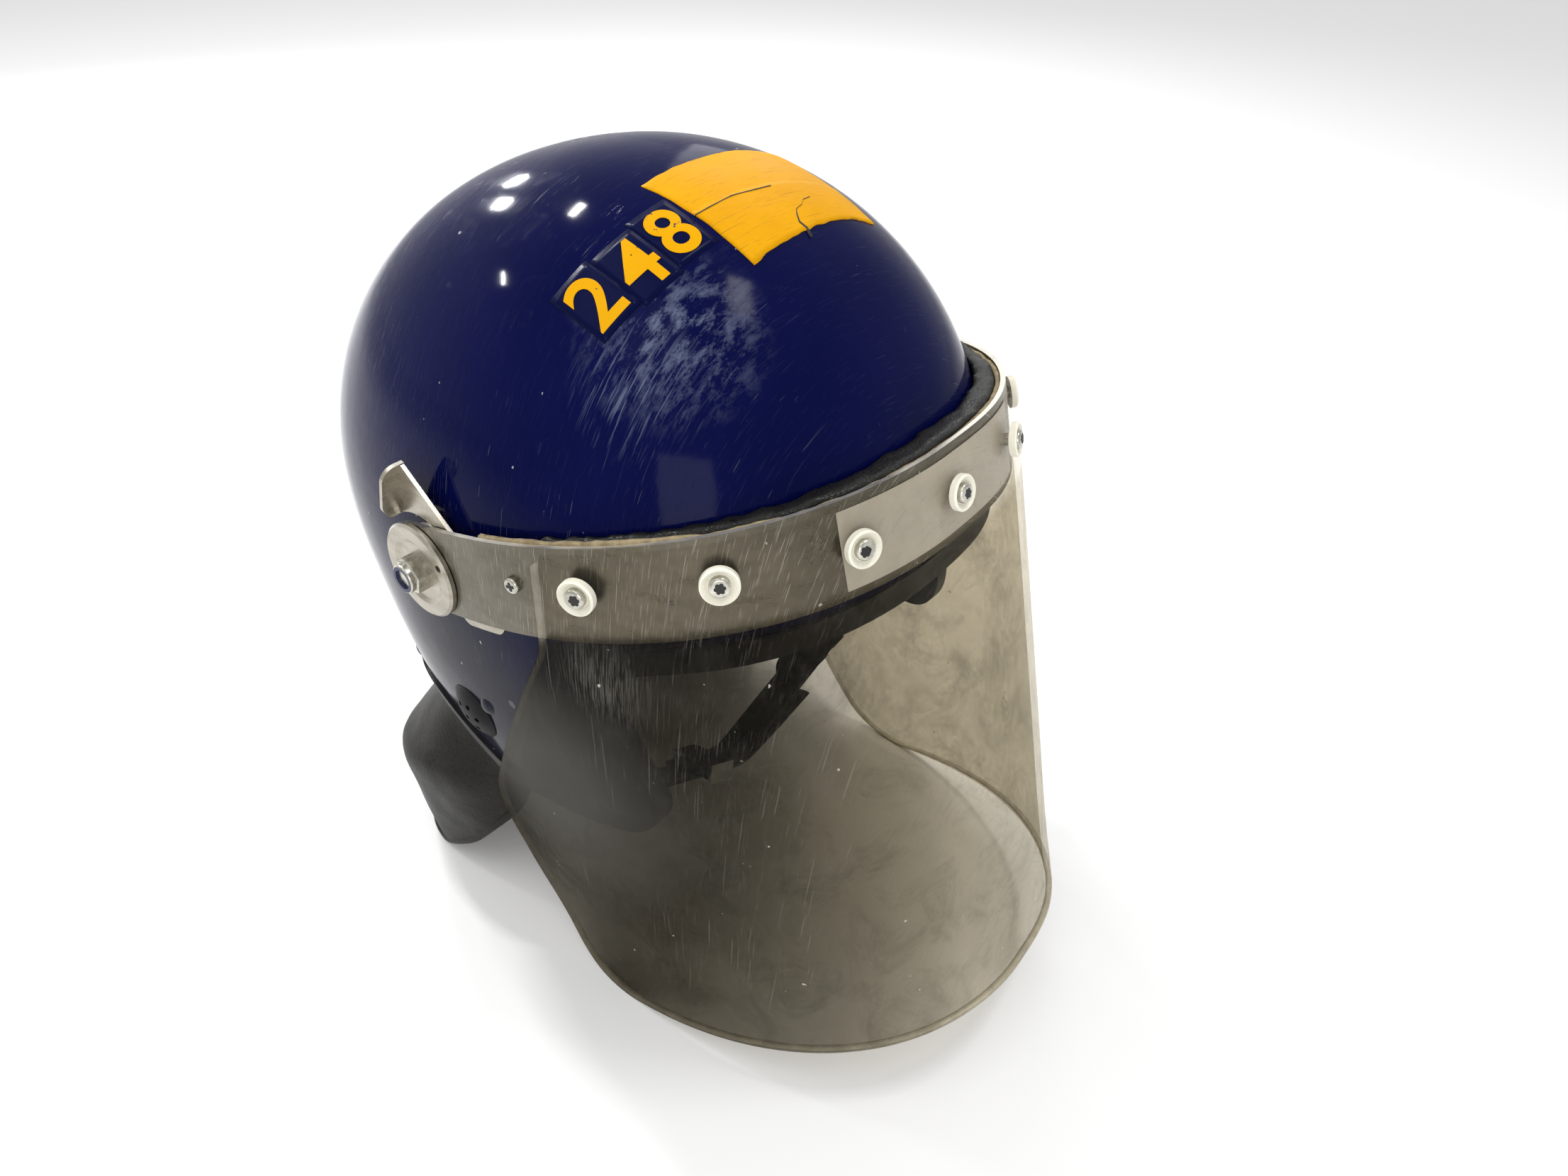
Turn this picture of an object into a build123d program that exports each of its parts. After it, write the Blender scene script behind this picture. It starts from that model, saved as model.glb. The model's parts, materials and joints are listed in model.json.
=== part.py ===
from build123d import *
import os
from math import acos, atan, cos, degrees, hypot, radians, sin, sqrt

# A riot helmet with a swing-up visor, standing on its visor and its neck guard.
# It is drawn level, with the visor pivots on the X axis, the face towards -Y
# and the wearer's right at -X. The last section tilts it into its standing pose.

# Driving dimensions of the shell
shell_half_width = 119.5
shell_front = 129.0
shell_rear = 178.0
widest_y = -15.4
dome_level = -9.0
dome_rise = 141.0
dome_drop = 266.0
crown_shift = 14.0
shell_wall = 4.0
plan_power = 2.35
profile_power = 2.05
dome_angles = (0, 18, 34, 49, 62, 73, 82)
drop_shares = (0.52, 0.43, 0.34, 0.25, 0.165, 0.08)
outline_steps = 24

# Side outline of the shell edge
brow_edge_z = -39.0
temple_edge_z = -33.0
temple_y = -98.0
cheek_top_y = -68.0
cheek_low_y = -76.0
ear_edge_z = -120.0
ear_rear_y = 26.0
nape_front_y = 68.0
nape_edge_z = -93.0
edge_radius = 22.0
overrun = 60.0

# Edge trim, liner and pads
trim_proud = 1.6
trim_reach = 7.0
trim_lip = 2.4
fit_gap = 0.3
liner_thickness = 15.0
liner_setback = 9.0
liner_low_z = -40.0
head_band_thickness = 9.0
head_band_low_z = -30.0
head_band_height = 44.0
crown_pad_size = (58.0, 74.0, 20.0)
ear_pad_size = (17.0, 30.0, 27.0)
ear_pad_place = (25.0, -79.0)
ear_pad_hole = 10.0

# Visor pivots
pivot_bolt_diameter = 8.0
pivot_bolt_head_diameter = 18.0
pivot_bolt_head_height = 2.5
running_gap = 0.3
bearing_clearance = 0.1
boss_radius = 16.0
band_end_radius = 18.5
nylon_washer_radius = 12.0
nylon_washer_thickness = 0.8
disc_radius = 19.8
disc_thickness = 2.6
disc_dish = 1.0
disc_dish_radius = 14.0
spanner_hole_diameter = 3.0
spanner_hole_reach = 16.8
spanner_turn = 15.0
nut_across_flats = 13.0
nut_height = 8.0
nut_collar = 2.2
insert_wall = 1.4

# Visor band and sheet
band_half_width = 125.2
band_front = 142.0
band_thickness = 2.0
band_power = 2.33
band_low_z = -17.8
band_height = 37.0
sheet_thickness = 3.0
sheet_gap = 0.6
sheet_top_z = 17.0
sheet_low_z = -250.0
sheet_taper = 0.115
sheet_taper_start = 20.0
sheet_lean = 0.03
sheet_levels = (-14.0, -24.0, -36.0, -50.0, -70.0, -100.0, -140.0, -190.0)
sheet_rear_top = -70.0
sheet_rear_bend = (-62.0, -22.0)
lobe_top = (30.0, -128.0)
lobe_low = (24.0, -177.0)
lobe_heel = (-2.0, -233.0)
sheet_front_z = -231.0
sheet_corner_radii = (6.0, 26.0, 45.0, 60.0, 40.0)
screw_angles = (-64.4, -42.3, -19.3, 0.0, 19.3, 42.3, 64.4)
side_screw_z = 3.5
front_screw_z = 1.5
front_screw_limit = 30.0
screw_diameter = 5.0
screw_head_diameter = 7.8
screw_head_height = 2.6
cup_diameter = 13.8
cup_height = 3.0
cup_floor = 1.2
cup_rim = 1.3
nut_diameter = 9.0
nut_thickness = 2.6
label_angle = 22.0
label_low_z = -14.5
label_high_z = 15.5
label_thickness = 0.3

# Brow seal
foam_thickness = 1.6
foam_low_z = 12.5
foam_high_z = 20.4
foam_rear_y = -34.0
seal_low_z = 8.5
seal_high_z = 20.0
seal_rear_y = -66.0

# Release levers
lever_pivot = (-55.5, 3.6)
lever_end_radius = 6.5
lever_thickness = 1.6
lever_gap = 0.5
lever_bend = (-28.0, 11.5)
lever_top = (-3.5, 43.5)
lever_fold_low = (9.4, 21.8)
lever_clear_radius = 22.6
lever_foot = (-35.0, -22.8, -12.0)
foot_radius = 5.0
tab_reach = 9.4
tab_low_reach = 6.4
tab_corner = 6.0
tab_bend_share = 0.22
lever_screw_diameter = 3.5
lever_screw_head_diameter = 6.4
lever_screw_head_height = 2.2
lever_nut_diameter = 6.4
lever_nut_thickness = 1.2
lever_nut_gap = 0.3
spring_thickness = 0.6
spring_anchor = (-75.2, 7.0)
spring_anchor_size = (5.6, 6.0)
spring_leaf = ((-73.0, 9.7), (-66.5, 9.9), (-60.8, 8.4))

# Ear vents, neck guard and chin strap
vent_place = (25.0, -82.0)
vent_radius = 14.0
vent_rise = 4.2
vent_shank_radius = 9.6
vent_hole_diameter = 2.4
vent_hole_ring = 6.6
vent_hole_count = 6
vent_shank_wall = 1.6
rivet_places = ((8.2, -73.0), (-15.5, -63.5))
rivet_radius = 4.4
rivet_height = 1.9
rivet_shank_diameter = 4.0
guard_wall = 3.0
guard_inset = 6.2
guard_middle_y = 60.0
guard_front_reach = 30.0
guard_upper_levels = (-70.0, -80.0, -90.0, -98.0, -105.0, -113.0, -122.0, -131.0)
guard_lower_levels = (
    (-141.0, 117.0, 95.0, 78.0, 68.0),
    (-150.0, 116.7, 95.7, 78.0, 66.6),
    (-160.0, 116.2, 96.5, 78.0, 65.0),
    (-170.0, 115.6, 97.2, 78.0, 63.5),
    (-180.0, 115.0, 98.0, 78.0, 62.0),
    (-190.0, 113.9, 98.6, 78.0, 60.0),
    (-203.0, 112.5, 99.3, 78.0, 57.2),
    (-216.0, 111.0, 100.0, 78.0, 54.0),
)
guard_flare_ear = (78.0, -123.0)
guard_flare_nape = (100.0, -97.0)
guard_power = 2.5
guard_front = ((60.0, -98.0), (30.0, -106.0), (28.0, -122.0), (46.0, -157.0), (76.0, -180.0))
guard_front_radii = (10.0, 6.0, 8.0, 24.0, 24.0, 24.0)
guard_heel_y = 110.0
guard_rivet_angles = (128, 154, 180, 206, 232)
guard_rivet_z = -80.0
guard_rivet_radius = 4.5
guard_rivet_height = 1.6
guard_rivet_spare = 1.2
strap_width = 20.0
strap_thickness = 2.0
strap_y = -17.0
strap_run = ((112.0, -54.0), (108.7, -88.0), (103.6, -108.0), (100.6, -124.0))
strap_low = (-14.0, -158.0)
strap_lap = 2.6
strap_bends = (40.0, 40.0, 12.0, 24.0)
strap_left_end_x = -46.0
strap_tail = (40.0, -151.6)
rivet_back_radius = 4.0
rivet_back_thickness = 1.0
buckle_x = -32.0
buckle_size = (15.0, 27.0, 9.5)
buckle_slot = (21.5, 5.6)
buckle_corner = 3.0
chin_pad_size = (34.0, 17.0, 9.0)
chin_pad_x = 62.0

# Standing pose
tilt = 16.0


def power_point(angle, power):
    """Point of a unit rounded outline at an angle from -Y, towards -X."""
    side = -abs(sin(radians(angle))) ** (2 / power)
    ahead = abs(cos(radians(angle))) ** (2 / power)
    if sin(radians(angle)) < 0:
        side = -side
    if cos(radians(angle)) < 0:
        ahead = -ahead
    return side, ahead


def rounded_outline(half_width, front, rear, middle_y, power):
    """Closed plan outline, as points from the front round the wearer's right."""
    points = []
    for step in range(outline_steps):
        side, ahead = power_point(360 * step / outline_steps, power)
        reach = front if ahead > 0 else rear
        points.append((half_width * side, middle_y - reach * ahead))
    return points


def dome_form(inset):
    """Solid inside the shell surface moved inwards by an inset."""
    sections = []
    levels = [(dome_level - share * dome_drop, sqrt(1 - share**2)) for share in drop_shares]
    for angle in dome_angles:
        rise = (dome_rise - inset) * sin(radians(angle)) ** (2 / profile_power)
        levels.append((dome_level + rise, cos(radians(angle)) ** (2 / profile_power)))
    for height, share in levels:
        outline = rounded_outline(
            (shell_half_width - inset) * share,
            (shell_front - inset) * share,
            (shell_rear - inset) * share,
            widest_y + crown_shift * (1 - share),
            plan_power,
        )
        with BuildSketch(Plane.XY.offset(height)) as section:
            with BuildLine():
                Spline(*outline, periodic=True)
            make_face()
        sections.append(section.sketch.faces()[0])
    crown = Vertex(0, widest_y + crown_shift, dome_level + dome_rise - inset)
    with BuildPart() as form:
        loft(sections=[*sections, crown])
    return form.part


def side_slab(corners, radii, grow=0):
    """Slab across the whole width from a side outline, grown by an amount."""
    with BuildPart() as slab:
        with BuildSketch(Plane.YZ) as outline:
            with BuildLine():
                FilletPolyline(*corners, radius=radii, close=True)
            make_face()
            if grow:
                offset(amount=grow)
        extrude(amount=half_span, both=True)
    return slab.part


def shell_slab(grow=0):
    """Slab of everything above the edge of the shell, seen from the side."""
    corners = (
        (front_y, brow_edge_z),
        (temple_y, temple_edge_z),
        (cheek_top_y, temple_edge_z),
        (cheek_low_y, ear_edge_z),
        (ear_rear_y, ear_edge_z),
        (nape_front_y, nape_edge_z),
        (rear_y, nape_edge_z),
        (rear_y, top_z),
        (front_y, top_z),
    )
    radii = (0, edge_radius, edge_radius, edge_radius, edge_radius, edge_radius, 0, 0, 0)
    return side_slab(corners, radii, grow)


def band_layer(grow, thickness, low_z, high_z):
    """Upright wall that follows the visor band, from a face inwards."""
    with BuildPart() as layer:
        for inset, mode in ((0, Mode.ADD), (thickness, Mode.SUBTRACT)):
            half_width = band_half_width + grow - inset
            reach = band_front + grow - inset
            with BuildSketch(Plane.XY.offset(low_z)):
                with BuildLine():
                    Spline(
                        *rounded_outline(half_width, reach, reach, widest_y, band_power),
                        periodic=True,
                    )
                make_face()
                with Locations((0, (widest_y + overrun) / 2)):
                    Rectangle(2 * half_width, overrun - widest_y)
            extrude(amount=high_z - low_z, mode=mode)
        split(bisect_by=Plane.XZ.offset(-overrun / 2), keep=Keep.TOP)
    return layer.part


def band_place(angle, height, out=0):
    """Plane on the outer face of the band, its Z pointing outwards."""
    side, ahead = power_point(angle, band_power)
    slope_x = abs(side) ** (band_power - 1) / band_half_width
    slope_y = abs(ahead) ** (band_power - 1) / band_front
    length = hypot(slope_x, slope_y)
    normal = Vector((slope_x if side > 0 else -slope_x) / length, -slope_y / length, 0)
    origin = Vector(band_half_width * side, widest_y - band_front * ahead, height) + normal * out
    return Plane(origin=origin, x_dir=(-normal.Y, normal.X, 0), z_dir=normal)


def screw_place(angle, out=0):
    """Plane of one visor screw on the band."""
    height = front_screw_z if abs(angle) < front_screw_limit else side_screw_z
    return band_place(angle, height, out)


def sideways(y, z, x=0):
    """Plane square to the X axis, its Z pointing to the wearer's right."""
    return Plane(origin=(-x, y, z), x_dir=(0, -1, 0), z_dir=(-1, 0, 0))


def mirrored(piece):
    """The same piece for the wearer's left side."""
    with BuildPart() as left:
        mirror(piece.part, about=Plane.YZ)
    return left


def keep(piece, name):
    """Label a finished piece and put it on the list of pieces."""
    piece.part.label = name
    pieces.append(piece.part)


def keep_pair(piece, name):
    """Keep a right piece and its mirror image."""
    keep(piece, f"{name}_right")
    keep(mirrored(piece), f"{name}_left")


def shell_x(y, z, inset=0):
    """Half width of the shell surface below its widest level, moved inwards by an inset."""
    share = sqrt(1 - ((z - dome_level) / dome_drop) ** 2)
    middle = widest_y + crown_shift * (1 - share)
    reach = (shell_front if y < middle else shell_rear) - inset
    along = abs(y - middle) / (reach * share)
    return (shell_half_width - inset) * share * (1 - along**plan_power) ** (1 / plan_power)


def shell_place(y, z):
    """Plane on the wearer's right side of the shell, its Z pointing outwards."""
    slope_y = (shell_x(y + fit_gap, z) - shell_x(y, z)) / fit_gap
    slope_z = (shell_x(y, z + fit_gap) - shell_x(y, z)) / fit_gap
    normal = Vector(-1, -slope_y, -slope_z)
    return Plane(origin=(-shell_x(y, z), y, z), x_dir=(slope_y, -1, 0), z_dir=normal)


def shell_nape(angle):
    """Plane on the shell at the height of the neck guard rivets, its Z pointing outwards."""
    share = sqrt(1 - ((guard_rivet_z - dome_level) / dome_drop) ** 2)
    outline = []
    for turn in (angle - 1, angle, angle + 1):
        side, ahead = power_point(turn, plan_power)
        y = widest_y + crown_shift * (1 - share) - shell_rear * share * ahead
        outline.append(Vector(shell_half_width * share * side, y, guard_rivet_z))
    along = (outline[2] - outline[0]).normalized()
    return Plane(origin=outline[1], x_dir=along, z_dir=Vector(0, 0, 1).cross(along))


def domed_head(radius, height):
    """Domed head on the XY plane, with a skirt below it that reaches a curved surface."""
    cap_radius = (radius**2 + height**2) / (2 * height)
    middle = (radius * sqrt(0.5), height - cap_radius + sqrt(cap_radius**2 - radius**2 / 2))
    with BuildPart() as domed:
        with BuildSketch(Plane.XZ):
            with BuildLine():
                Polyline((0, height), (0, -shell_wall), (radius, -shell_wall), (radius, 0))
                ThreePointArc((radius, 0), middle, (0, height))
            make_face()
        revolve(axis=Axis.Z)
    return domed.part


at_base = (Align.CENTER, Align.CENTER, Align.MIN)
at_top = (Align.CENTER, Align.CENTER, Align.MAX)
half_span = band_half_width + overrun
front_y = widest_y - band_front - overrun
rear_y = widest_y + shell_rear + overrun
top_z = dome_level + dome_rise + overrun
band_top_z = band_low_z + band_height
band_inner_x = band_half_width - band_thickness
pieces = []
os.makedirs("parts", exist_ok=True)

# Shell with its pivot, vent and rivet holes
dome_outside = dome_form(0)
dome_inside = dome_form(shell_wall)
rivet_planes = [Location(shell_place(*place)) for place in rivet_places]
guard_rivet_planes = [Location(shell_nape(angle)) for angle in guard_rivet_angles]
with BuildPart() as side_holes:
    with Locations(Location(sideways(0, 0))):
        Cylinder(pivot_bolt_diameter / 2 + fit_gap, half_span, align=at_base)
    with Locations(Location(shell_place(*vent_place))):
        Cylinder(vent_shank_radius + fit_gap, overrun)
    with Locations(*rivet_planes):
        Cylinder(rivet_shank_diameter / 2, overrun)
    mirror(about=Plane.YZ)
with BuildPart() as shell:
    add(dome_outside)
    add(dome_inside, mode=Mode.SUBTRACT)
    add(shell_slab(), mode=Mode.INTERSECT)
    add(side_holes.part, mode=Mode.SUBTRACT)
    with Locations(*guard_rivet_planes):
        Cylinder(rivet_shank_diameter / 2, overrun, mode=Mode.SUBTRACT)
keep(shell, "shell")

# Rubber channel pressed on the edge of the shell
with BuildPart() as edge_trim:
    add(dome_form(-trim_proud))
    add(dome_form(shell_wall + trim_proud), mode=Mode.SUBTRACT)
    add(shell_slab(trim_lip), mode=Mode.INTERSECT)
    add(shell_slab(-trim_reach), mode=Mode.SUBTRACT)
    add(shell.part, mode=Mode.SUBTRACT)
keep(edge_trim, "edge_trim")

# Energy liner, a shell of foam inside the dome, open round the pivot bolt heads
liner_inset = shell_wall + fit_gap
lining_inset = liner_inset + liner_thickness
with BuildPart() as energy_liner:
    add(dome_form(liner_inset))
    add(dome_form(lining_inset), mode=Mode.SUBTRACT)
    add(shell_slab(-liner_setback), mode=Mode.INTERSECT)
    split(bisect_by=Plane.XY.offset(liner_low_z), keep=Keep.TOP)
    with Locations(Location(sideways(0, 0))):
        Cylinder(pivot_bolt_head_diameter / 2 + fit_gap, 2 * half_span, mode=Mode.SUBTRACT)
keep(energy_liner, "energy_liner")

# Padding against the head
lining_outside = dome_form(lining_inset + fit_gap)
with BuildPart() as head_band_pad:
    add(lining_outside)
    add(dome_form(lining_inset + head_band_thickness), mode=Mode.SUBTRACT)
    split(bisect_by=Plane.XY.offset(head_band_low_z), keep=Keep.TOP)
    split(bisect_by=Plane.XY.offset(head_band_low_z + head_band_height), keep=Keep.BOTTOM)
keep(head_band_pad, "head_band_pad")

crown_z = dome_level + dome_rise - lining_inset
with BuildPart() as crown_lens:
    Sphere(1)
    scale(by=crown_pad_size)
with BuildPart() as crown_pad:
    add(lining_outside)
    with Locations((0, widest_y + crown_shift, crown_z)):
        add(crown_lens.part, mode=Mode.INTERSECT)
keep(crown_pad, "crown_pad")


def sheet_outline(height, inset):
    """Plan outline of the visor sheet at a height, moved inwards by an inset."""
    drop = max(0, sheet_levels[0] - height)
    grow = sheet_gap + sheet_thickness - inset
    half_width = band_half_width + grow - sheet_taper * drop**2 / (drop + sheet_taper_start)
    reach = band_front + grow + sheet_lean * drop
    return rounded_outline(half_width, reach, reach, widest_y, band_power)


def sheet_form(inset):
    """Solid inside the visor sheet, moved inwards by an inset."""
    with BuildPart() as form:
        for height in (*sheet_levels, sheet_low_z):
            with BuildSketch(Plane.XY.offset(height)):
                with BuildLine():
                    Spline(*sheet_outline(height, inset), periodic=True)
                make_face()
        loft()
        with BuildSketch(Plane.XY.offset(sheet_levels[0])):
            with BuildLine():
                Spline(*sheet_outline(sheet_levels[0], inset), periodic=True)
            make_face()
        extrude(amount=band_top_z - sheet_levels[0])
    return form.part


# Clear visor sheet, cut to its lobed side outline
sheet_corners = (
    (front_y, sheet_top_z),
    (sheet_rear_top, sheet_top_z),
    sheet_rear_bend,
    lobe_top,
    lobe_low,
    lobe_heel,
    (front_y, sheet_front_z),
)
with BuildPart() as visor_sheet:
    add(sheet_form(0))
    add(sheet_form(sheet_thickness), mode=Mode.SUBTRACT)
    add(side_slab(sheet_corners, (0, *sheet_corner_radii, 0)), mode=Mode.INTERSECT)
    with Locations(*[Location(screw_place(angle)) for angle in screw_angles]):
        Cylinder(screw_diameter / 2, overrun, mode=Mode.SUBTRACT)
keep(visor_sheet, "visor_sheet")

# Aluminium band, a flat strip bent round the brow with rounded ends at the pivots
band_middle_z = band_low_z + band_height / 2
lever_share = (widest_y - lever_pivot[0]) / band_front
lever_angle = degrees(acos(lever_share ** (band_power / 2)))
lever_screw_places = [band_place(turn, lever_pivot[1]) for turn in (lever_angle, -lever_angle)]
with BuildPart() as band_side:
    with BuildSketch(Plane.YZ):
        with Locations((front_y / 2, band_middle_z)):
            Rectangle(-front_y, band_height)
        with Locations((0, band_middle_z)):
            Circle(band_end_radius)
    extrude(amount=half_span, both=True)
with BuildPart() as visor_band:
    add(band_layer(0, band_thickness, band_low_z, band_top_z))
    add(band_side.part, mode=Mode.INTERSECT)
    with Locations(Location(sideways(0, 0))):
        Cylinder(pivot_bolt_diameter / 2 + bearing_clearance, 2 * half_span, mode=Mode.SUBTRACT)
    with Locations(*[Location(place) for place in lever_screw_places]):
        Cylinder(lever_screw_diameter / 2, overrun, mode=Mode.SUBTRACT)
    with Locations(*[Location(screw_place(angle)) for angle in screw_angles]):
        Cylinder(screw_diameter / 2, overrun, mode=Mode.SUBTRACT)
keep(visor_band, "visor_band")

# Bare label plate between the band and the sheet
label_half_width = band_half_width * power_point(-label_angle, band_power)[0]
with BuildPart() as label_plate:
    add(band_layer((sheet_gap + label_thickness) / 2, label_thickness, label_low_z, label_high_z))
    with Locations((0, widest_y - band_front, 0)):
        Box(2 * label_half_width, band_front, overrun, mode=Mode.INTERSECT)
    with Locations(*[Location(screw_place(angle)) for angle in screw_angles]):
        Cylinder(screw_diameter / 2, overrun, mode=Mode.SUBTRACT)
keep(label_plate, "label_plate")

# Visor screws: cup washers outside, pan heads in them, round nuts inside the band
outer_face = sheet_gap + sheet_thickness
cup_places = [Location(screw_place(angle, outer_face)) for angle in screw_angles]
with BuildPart() as one_cup:
    with BuildSketch(Plane.XZ):
        with BuildLine():
            Polyline(
                (screw_diameter / 2, -cup_floor),
                (cup_diameter / 2, -cup_floor),
                (cup_diameter / 2, cup_height - cup_rim / 2),
                (cup_diameter / 2 - cup_rim / 2, cup_height),
                (cup_diameter / 2 - cup_rim, cup_height - cup_rim / 2),
                (cup_diameter / 2 - 2 * cup_rim, cup_floor),
                (screw_diameter / 2, cup_floor),
                close=True,
            )
        make_face()
    revolve(axis=Axis.Z)
with BuildPart() as cup_washers:
    with Locations(*cup_places):
        add(one_cup.part)
    add(visor_sheet.part, mode=Mode.SUBTRACT)
keep(cup_washers, "cup_washers")

shank_length = cup_floor + outer_face + band_thickness + nut_thickness
with BuildPart() as one_screw:
    Cylinder(screw_head_diameter / 2, screw_head_height, align=at_base)
    fillet(one_screw.edges().sort_by(Axis.Z)[-1], screw_head_height / 2)
    with BuildSketch(Plane.XY.offset(screw_head_height)):
        RegularPolygon(screw_head_diameter / 5, 6)
    extrude(amount=-screw_head_height / 2, mode=Mode.SUBTRACT)
    Cylinder(screw_diameter / 2, shank_length, align=at_top)
with BuildPart() as visor_screws:
    with Locations(*[Location(screw_place(angle, outer_face + cup_floor)) for angle in screw_angles]):
        add(one_screw.part)
keep(visor_screws, "visor_screws")

with BuildPart() as one_nut:
    with Locations((0, 0, -nut_thickness)):
        Cylinder(nut_diameter / 2, nut_thickness + band_thickness / 2, align=at_base)
    fillet(one_nut.edges().sort_by(Axis.Z)[0], nut_thickness / 3)
    Cylinder(screw_diameter / 2, overrun, mode=Mode.SUBTRACT)
with BuildPart() as visor_nuts:
    with Locations(*[Location(screw_place(angle, -band_thickness)) for angle in screw_angles]):
        add(one_nut.part)
    add(visor_band.part, mode=Mode.SUBTRACT)
keep(visor_nuts, "visor_nuts")

# Foam strip and vinyl seal between the band and the brow
foam_face = -band_thickness - fit_gap
with BuildPart() as seal_foam:
    add(band_layer(foam_face, foam_thickness, foam_low_z, foam_high_z))
    split(bisect_by=Plane.XZ.offset(-foam_rear_y), keep=Keep.TOP)
keep(seal_foam, "seal_foam")

with BuildPart() as brow_seal:
    add(band_layer(foam_face - foam_thickness - fit_gap, shell_front / 2, seal_low_z, seal_high_z))
    add(dome_form(-fit_gap - fit_gap), mode=Mode.SUBTRACT)
    split(bisect_by=Plane.XZ.offset(-seal_rear_y), keep=Keep.TOP)
keep(brow_seal, "brow_seal")

# Pivot on each side: bolt, boss, nylon washer, dished disc, lock nut and insert
washer_x = band_inner_x - running_gap
boss_x = washer_x - nylon_washer_thickness
disc_x = band_half_width + running_gap
nut_x = disc_x + disc_thickness - disc_dish
nut_top_x = nut_x + nut_height
bolt_end_x = nut_top_x - nut_collar / 2
bolt_head_x = shell_half_width - shell_wall - pivot_bolt_head_height

with BuildPart() as pivot_boss:
    with Locations(Location(sideways(0, 0, boss_x))):
        Cylinder(boss_radius, 4 * shell_wall, align=at_top)
    add(dome_outside, mode=Mode.SUBTRACT)
    with Locations(Location(sideways(0, 0))):
        Cylinder(pivot_bolt_diameter / 2, half_span, align=at_base, mode=Mode.SUBTRACT)
keep_pair(pivot_boss, "pivot_boss")

with BuildPart() as pivot_washer:
    with Locations(Location(sideways(0, 0, washer_x))):
        Cylinder(nylon_washer_radius, nylon_washer_thickness, align=at_top)
        Cylinder(pivot_bolt_diameter / 2, overrun, mode=Mode.SUBTRACT)
keep_pair(pivot_washer, "pivot_washer")

with BuildPart() as disc_blank:
    with BuildSketch(Plane.XZ):
        with BuildLine():
            Polyline(
                (pivot_bolt_diameter / 2, 0),
                (disc_radius, 0),
                (disc_radius, disc_thickness - disc_dish),
                (disc_radius - disc_dish, disc_thickness),
                (disc_dish_radius, disc_thickness),
                (disc_dish_radius - 2 * disc_dish, disc_thickness - disc_dish),
                (pivot_bolt_diameter / 2, disc_thickness - disc_dish),
                close=True,
            )
        make_face()
    revolve(axis=Axis.Z)
    with PolarLocations(spanner_hole_reach, 2):
        Cylinder(spanner_hole_diameter / 2, overrun, mode=Mode.SUBTRACT)
with BuildPart() as cover_disc:
    with Locations(Location(sideways(0, 0, disc_x)) * Location((0, 0, 0), (0, 0, spanner_turn))):
        add(disc_blank.part)
keep_pair(cover_disc, "cover_disc")

with BuildPart() as pivot_bolt:
    with Locations(Location(sideways(0, 0, bolt_head_x))):
        Cylinder(pivot_bolt_head_diameter / 2, shell_wall, align=at_base)
    add(dome_inside, mode=Mode.INTERSECT)
    with Locations(Location(sideways(0, 0, bolt_head_x))):
        Cylinder(pivot_bolt_diameter / 2, bolt_end_x - bolt_head_x, align=at_base)
keep_pair(pivot_bolt, "pivot_bolt")

with BuildPart() as nut_blank:
    with BuildSketch():
        RegularPolygon(nut_across_flats / 2, 6, major_radius=False)
    extrude(amount=nut_height - nut_collar)
    chamfer(nut_blank.edges().group_by(Axis.Z)[-1], nut_collar / 4)
    with BuildSketch(Plane.XY.offset(nut_height - nut_collar)):
        Circle(nut_across_flats / 2 - nut_collar / 4)
    extrude(amount=nut_collar)
    fillet(nut_blank.edges().group_by(Axis.Z)[-1], nut_collar / 3)
    Cylinder(pivot_bolt_diameter / 2, 2 * overrun, mode=Mode.SUBTRACT)
    with Locations((0, 0, nut_height - nut_collar)):
        Cylinder(pivot_bolt_diameter / 2 + insert_wall, nut_collar, align=at_base, mode=Mode.SUBTRACT)
with BuildPart() as lock_nut:
    with Locations(Location(sideways(0, 0, nut_x))):
        add(nut_blank.part)
keep_pair(lock_nut, "lock_nut")

with BuildPart() as nut_insert:
    with Locations(Location(sideways(0, 0, nut_top_x))):
        Cylinder(pivot_bolt_diameter / 2 + insert_wall, nut_collar, align=at_top)
        Cylinder(pivot_bolt_diameter / 2, overrun, mode=Mode.SUBTRACT)
keep_pair(nut_insert, "nut_insert")

# Release lever: a plate that rocks behind the band, with a thumb tab, a shoe and a foot
lever_face = -band_thickness - lever_gap
plate_x = band_half_width + lever_face
pivot_y, pivot_z = lever_pivot
foot_front, foot_z, foot_rear = lever_foot
with BuildPart() as lever_side:
    with BuildSketch(Plane.YZ):
        with BuildLine():
            Polyline(
                (pivot_y, pivot_z + lever_end_radius),
                lever_bend,
                lever_top,
                lever_fold_low,
                (0, 0),
                (foot_front, foot_z / 2),
                (pivot_y, pivot_z - lever_end_radius),
                close=True,
            )
        make_face()
        Circle(lever_clear_radius, mode=Mode.SUBTRACT)
        with BuildLine():
            FilletPolyline(
                (pivot_y + lever_end_radius, pivot_z),
                (pivot_y + lever_end_radius, pivot_z - 2 * lever_end_radius),
                (foot_front, foot_z),
                (foot_rear, foot_z),
                (foot_rear, -boss_radius / 2),
                (-lever_clear_radius, 0),
                radius=(0, 0, foot_radius, foot_radius, 0, 0),
                close=True,
            )
        make_face()
        Circle(boss_radius + running_gap, mode=Mode.SUBTRACT)
        with Locations(lever_pivot):
            Circle(lever_end_radius)
    extrude(amount=-half_span)
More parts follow.
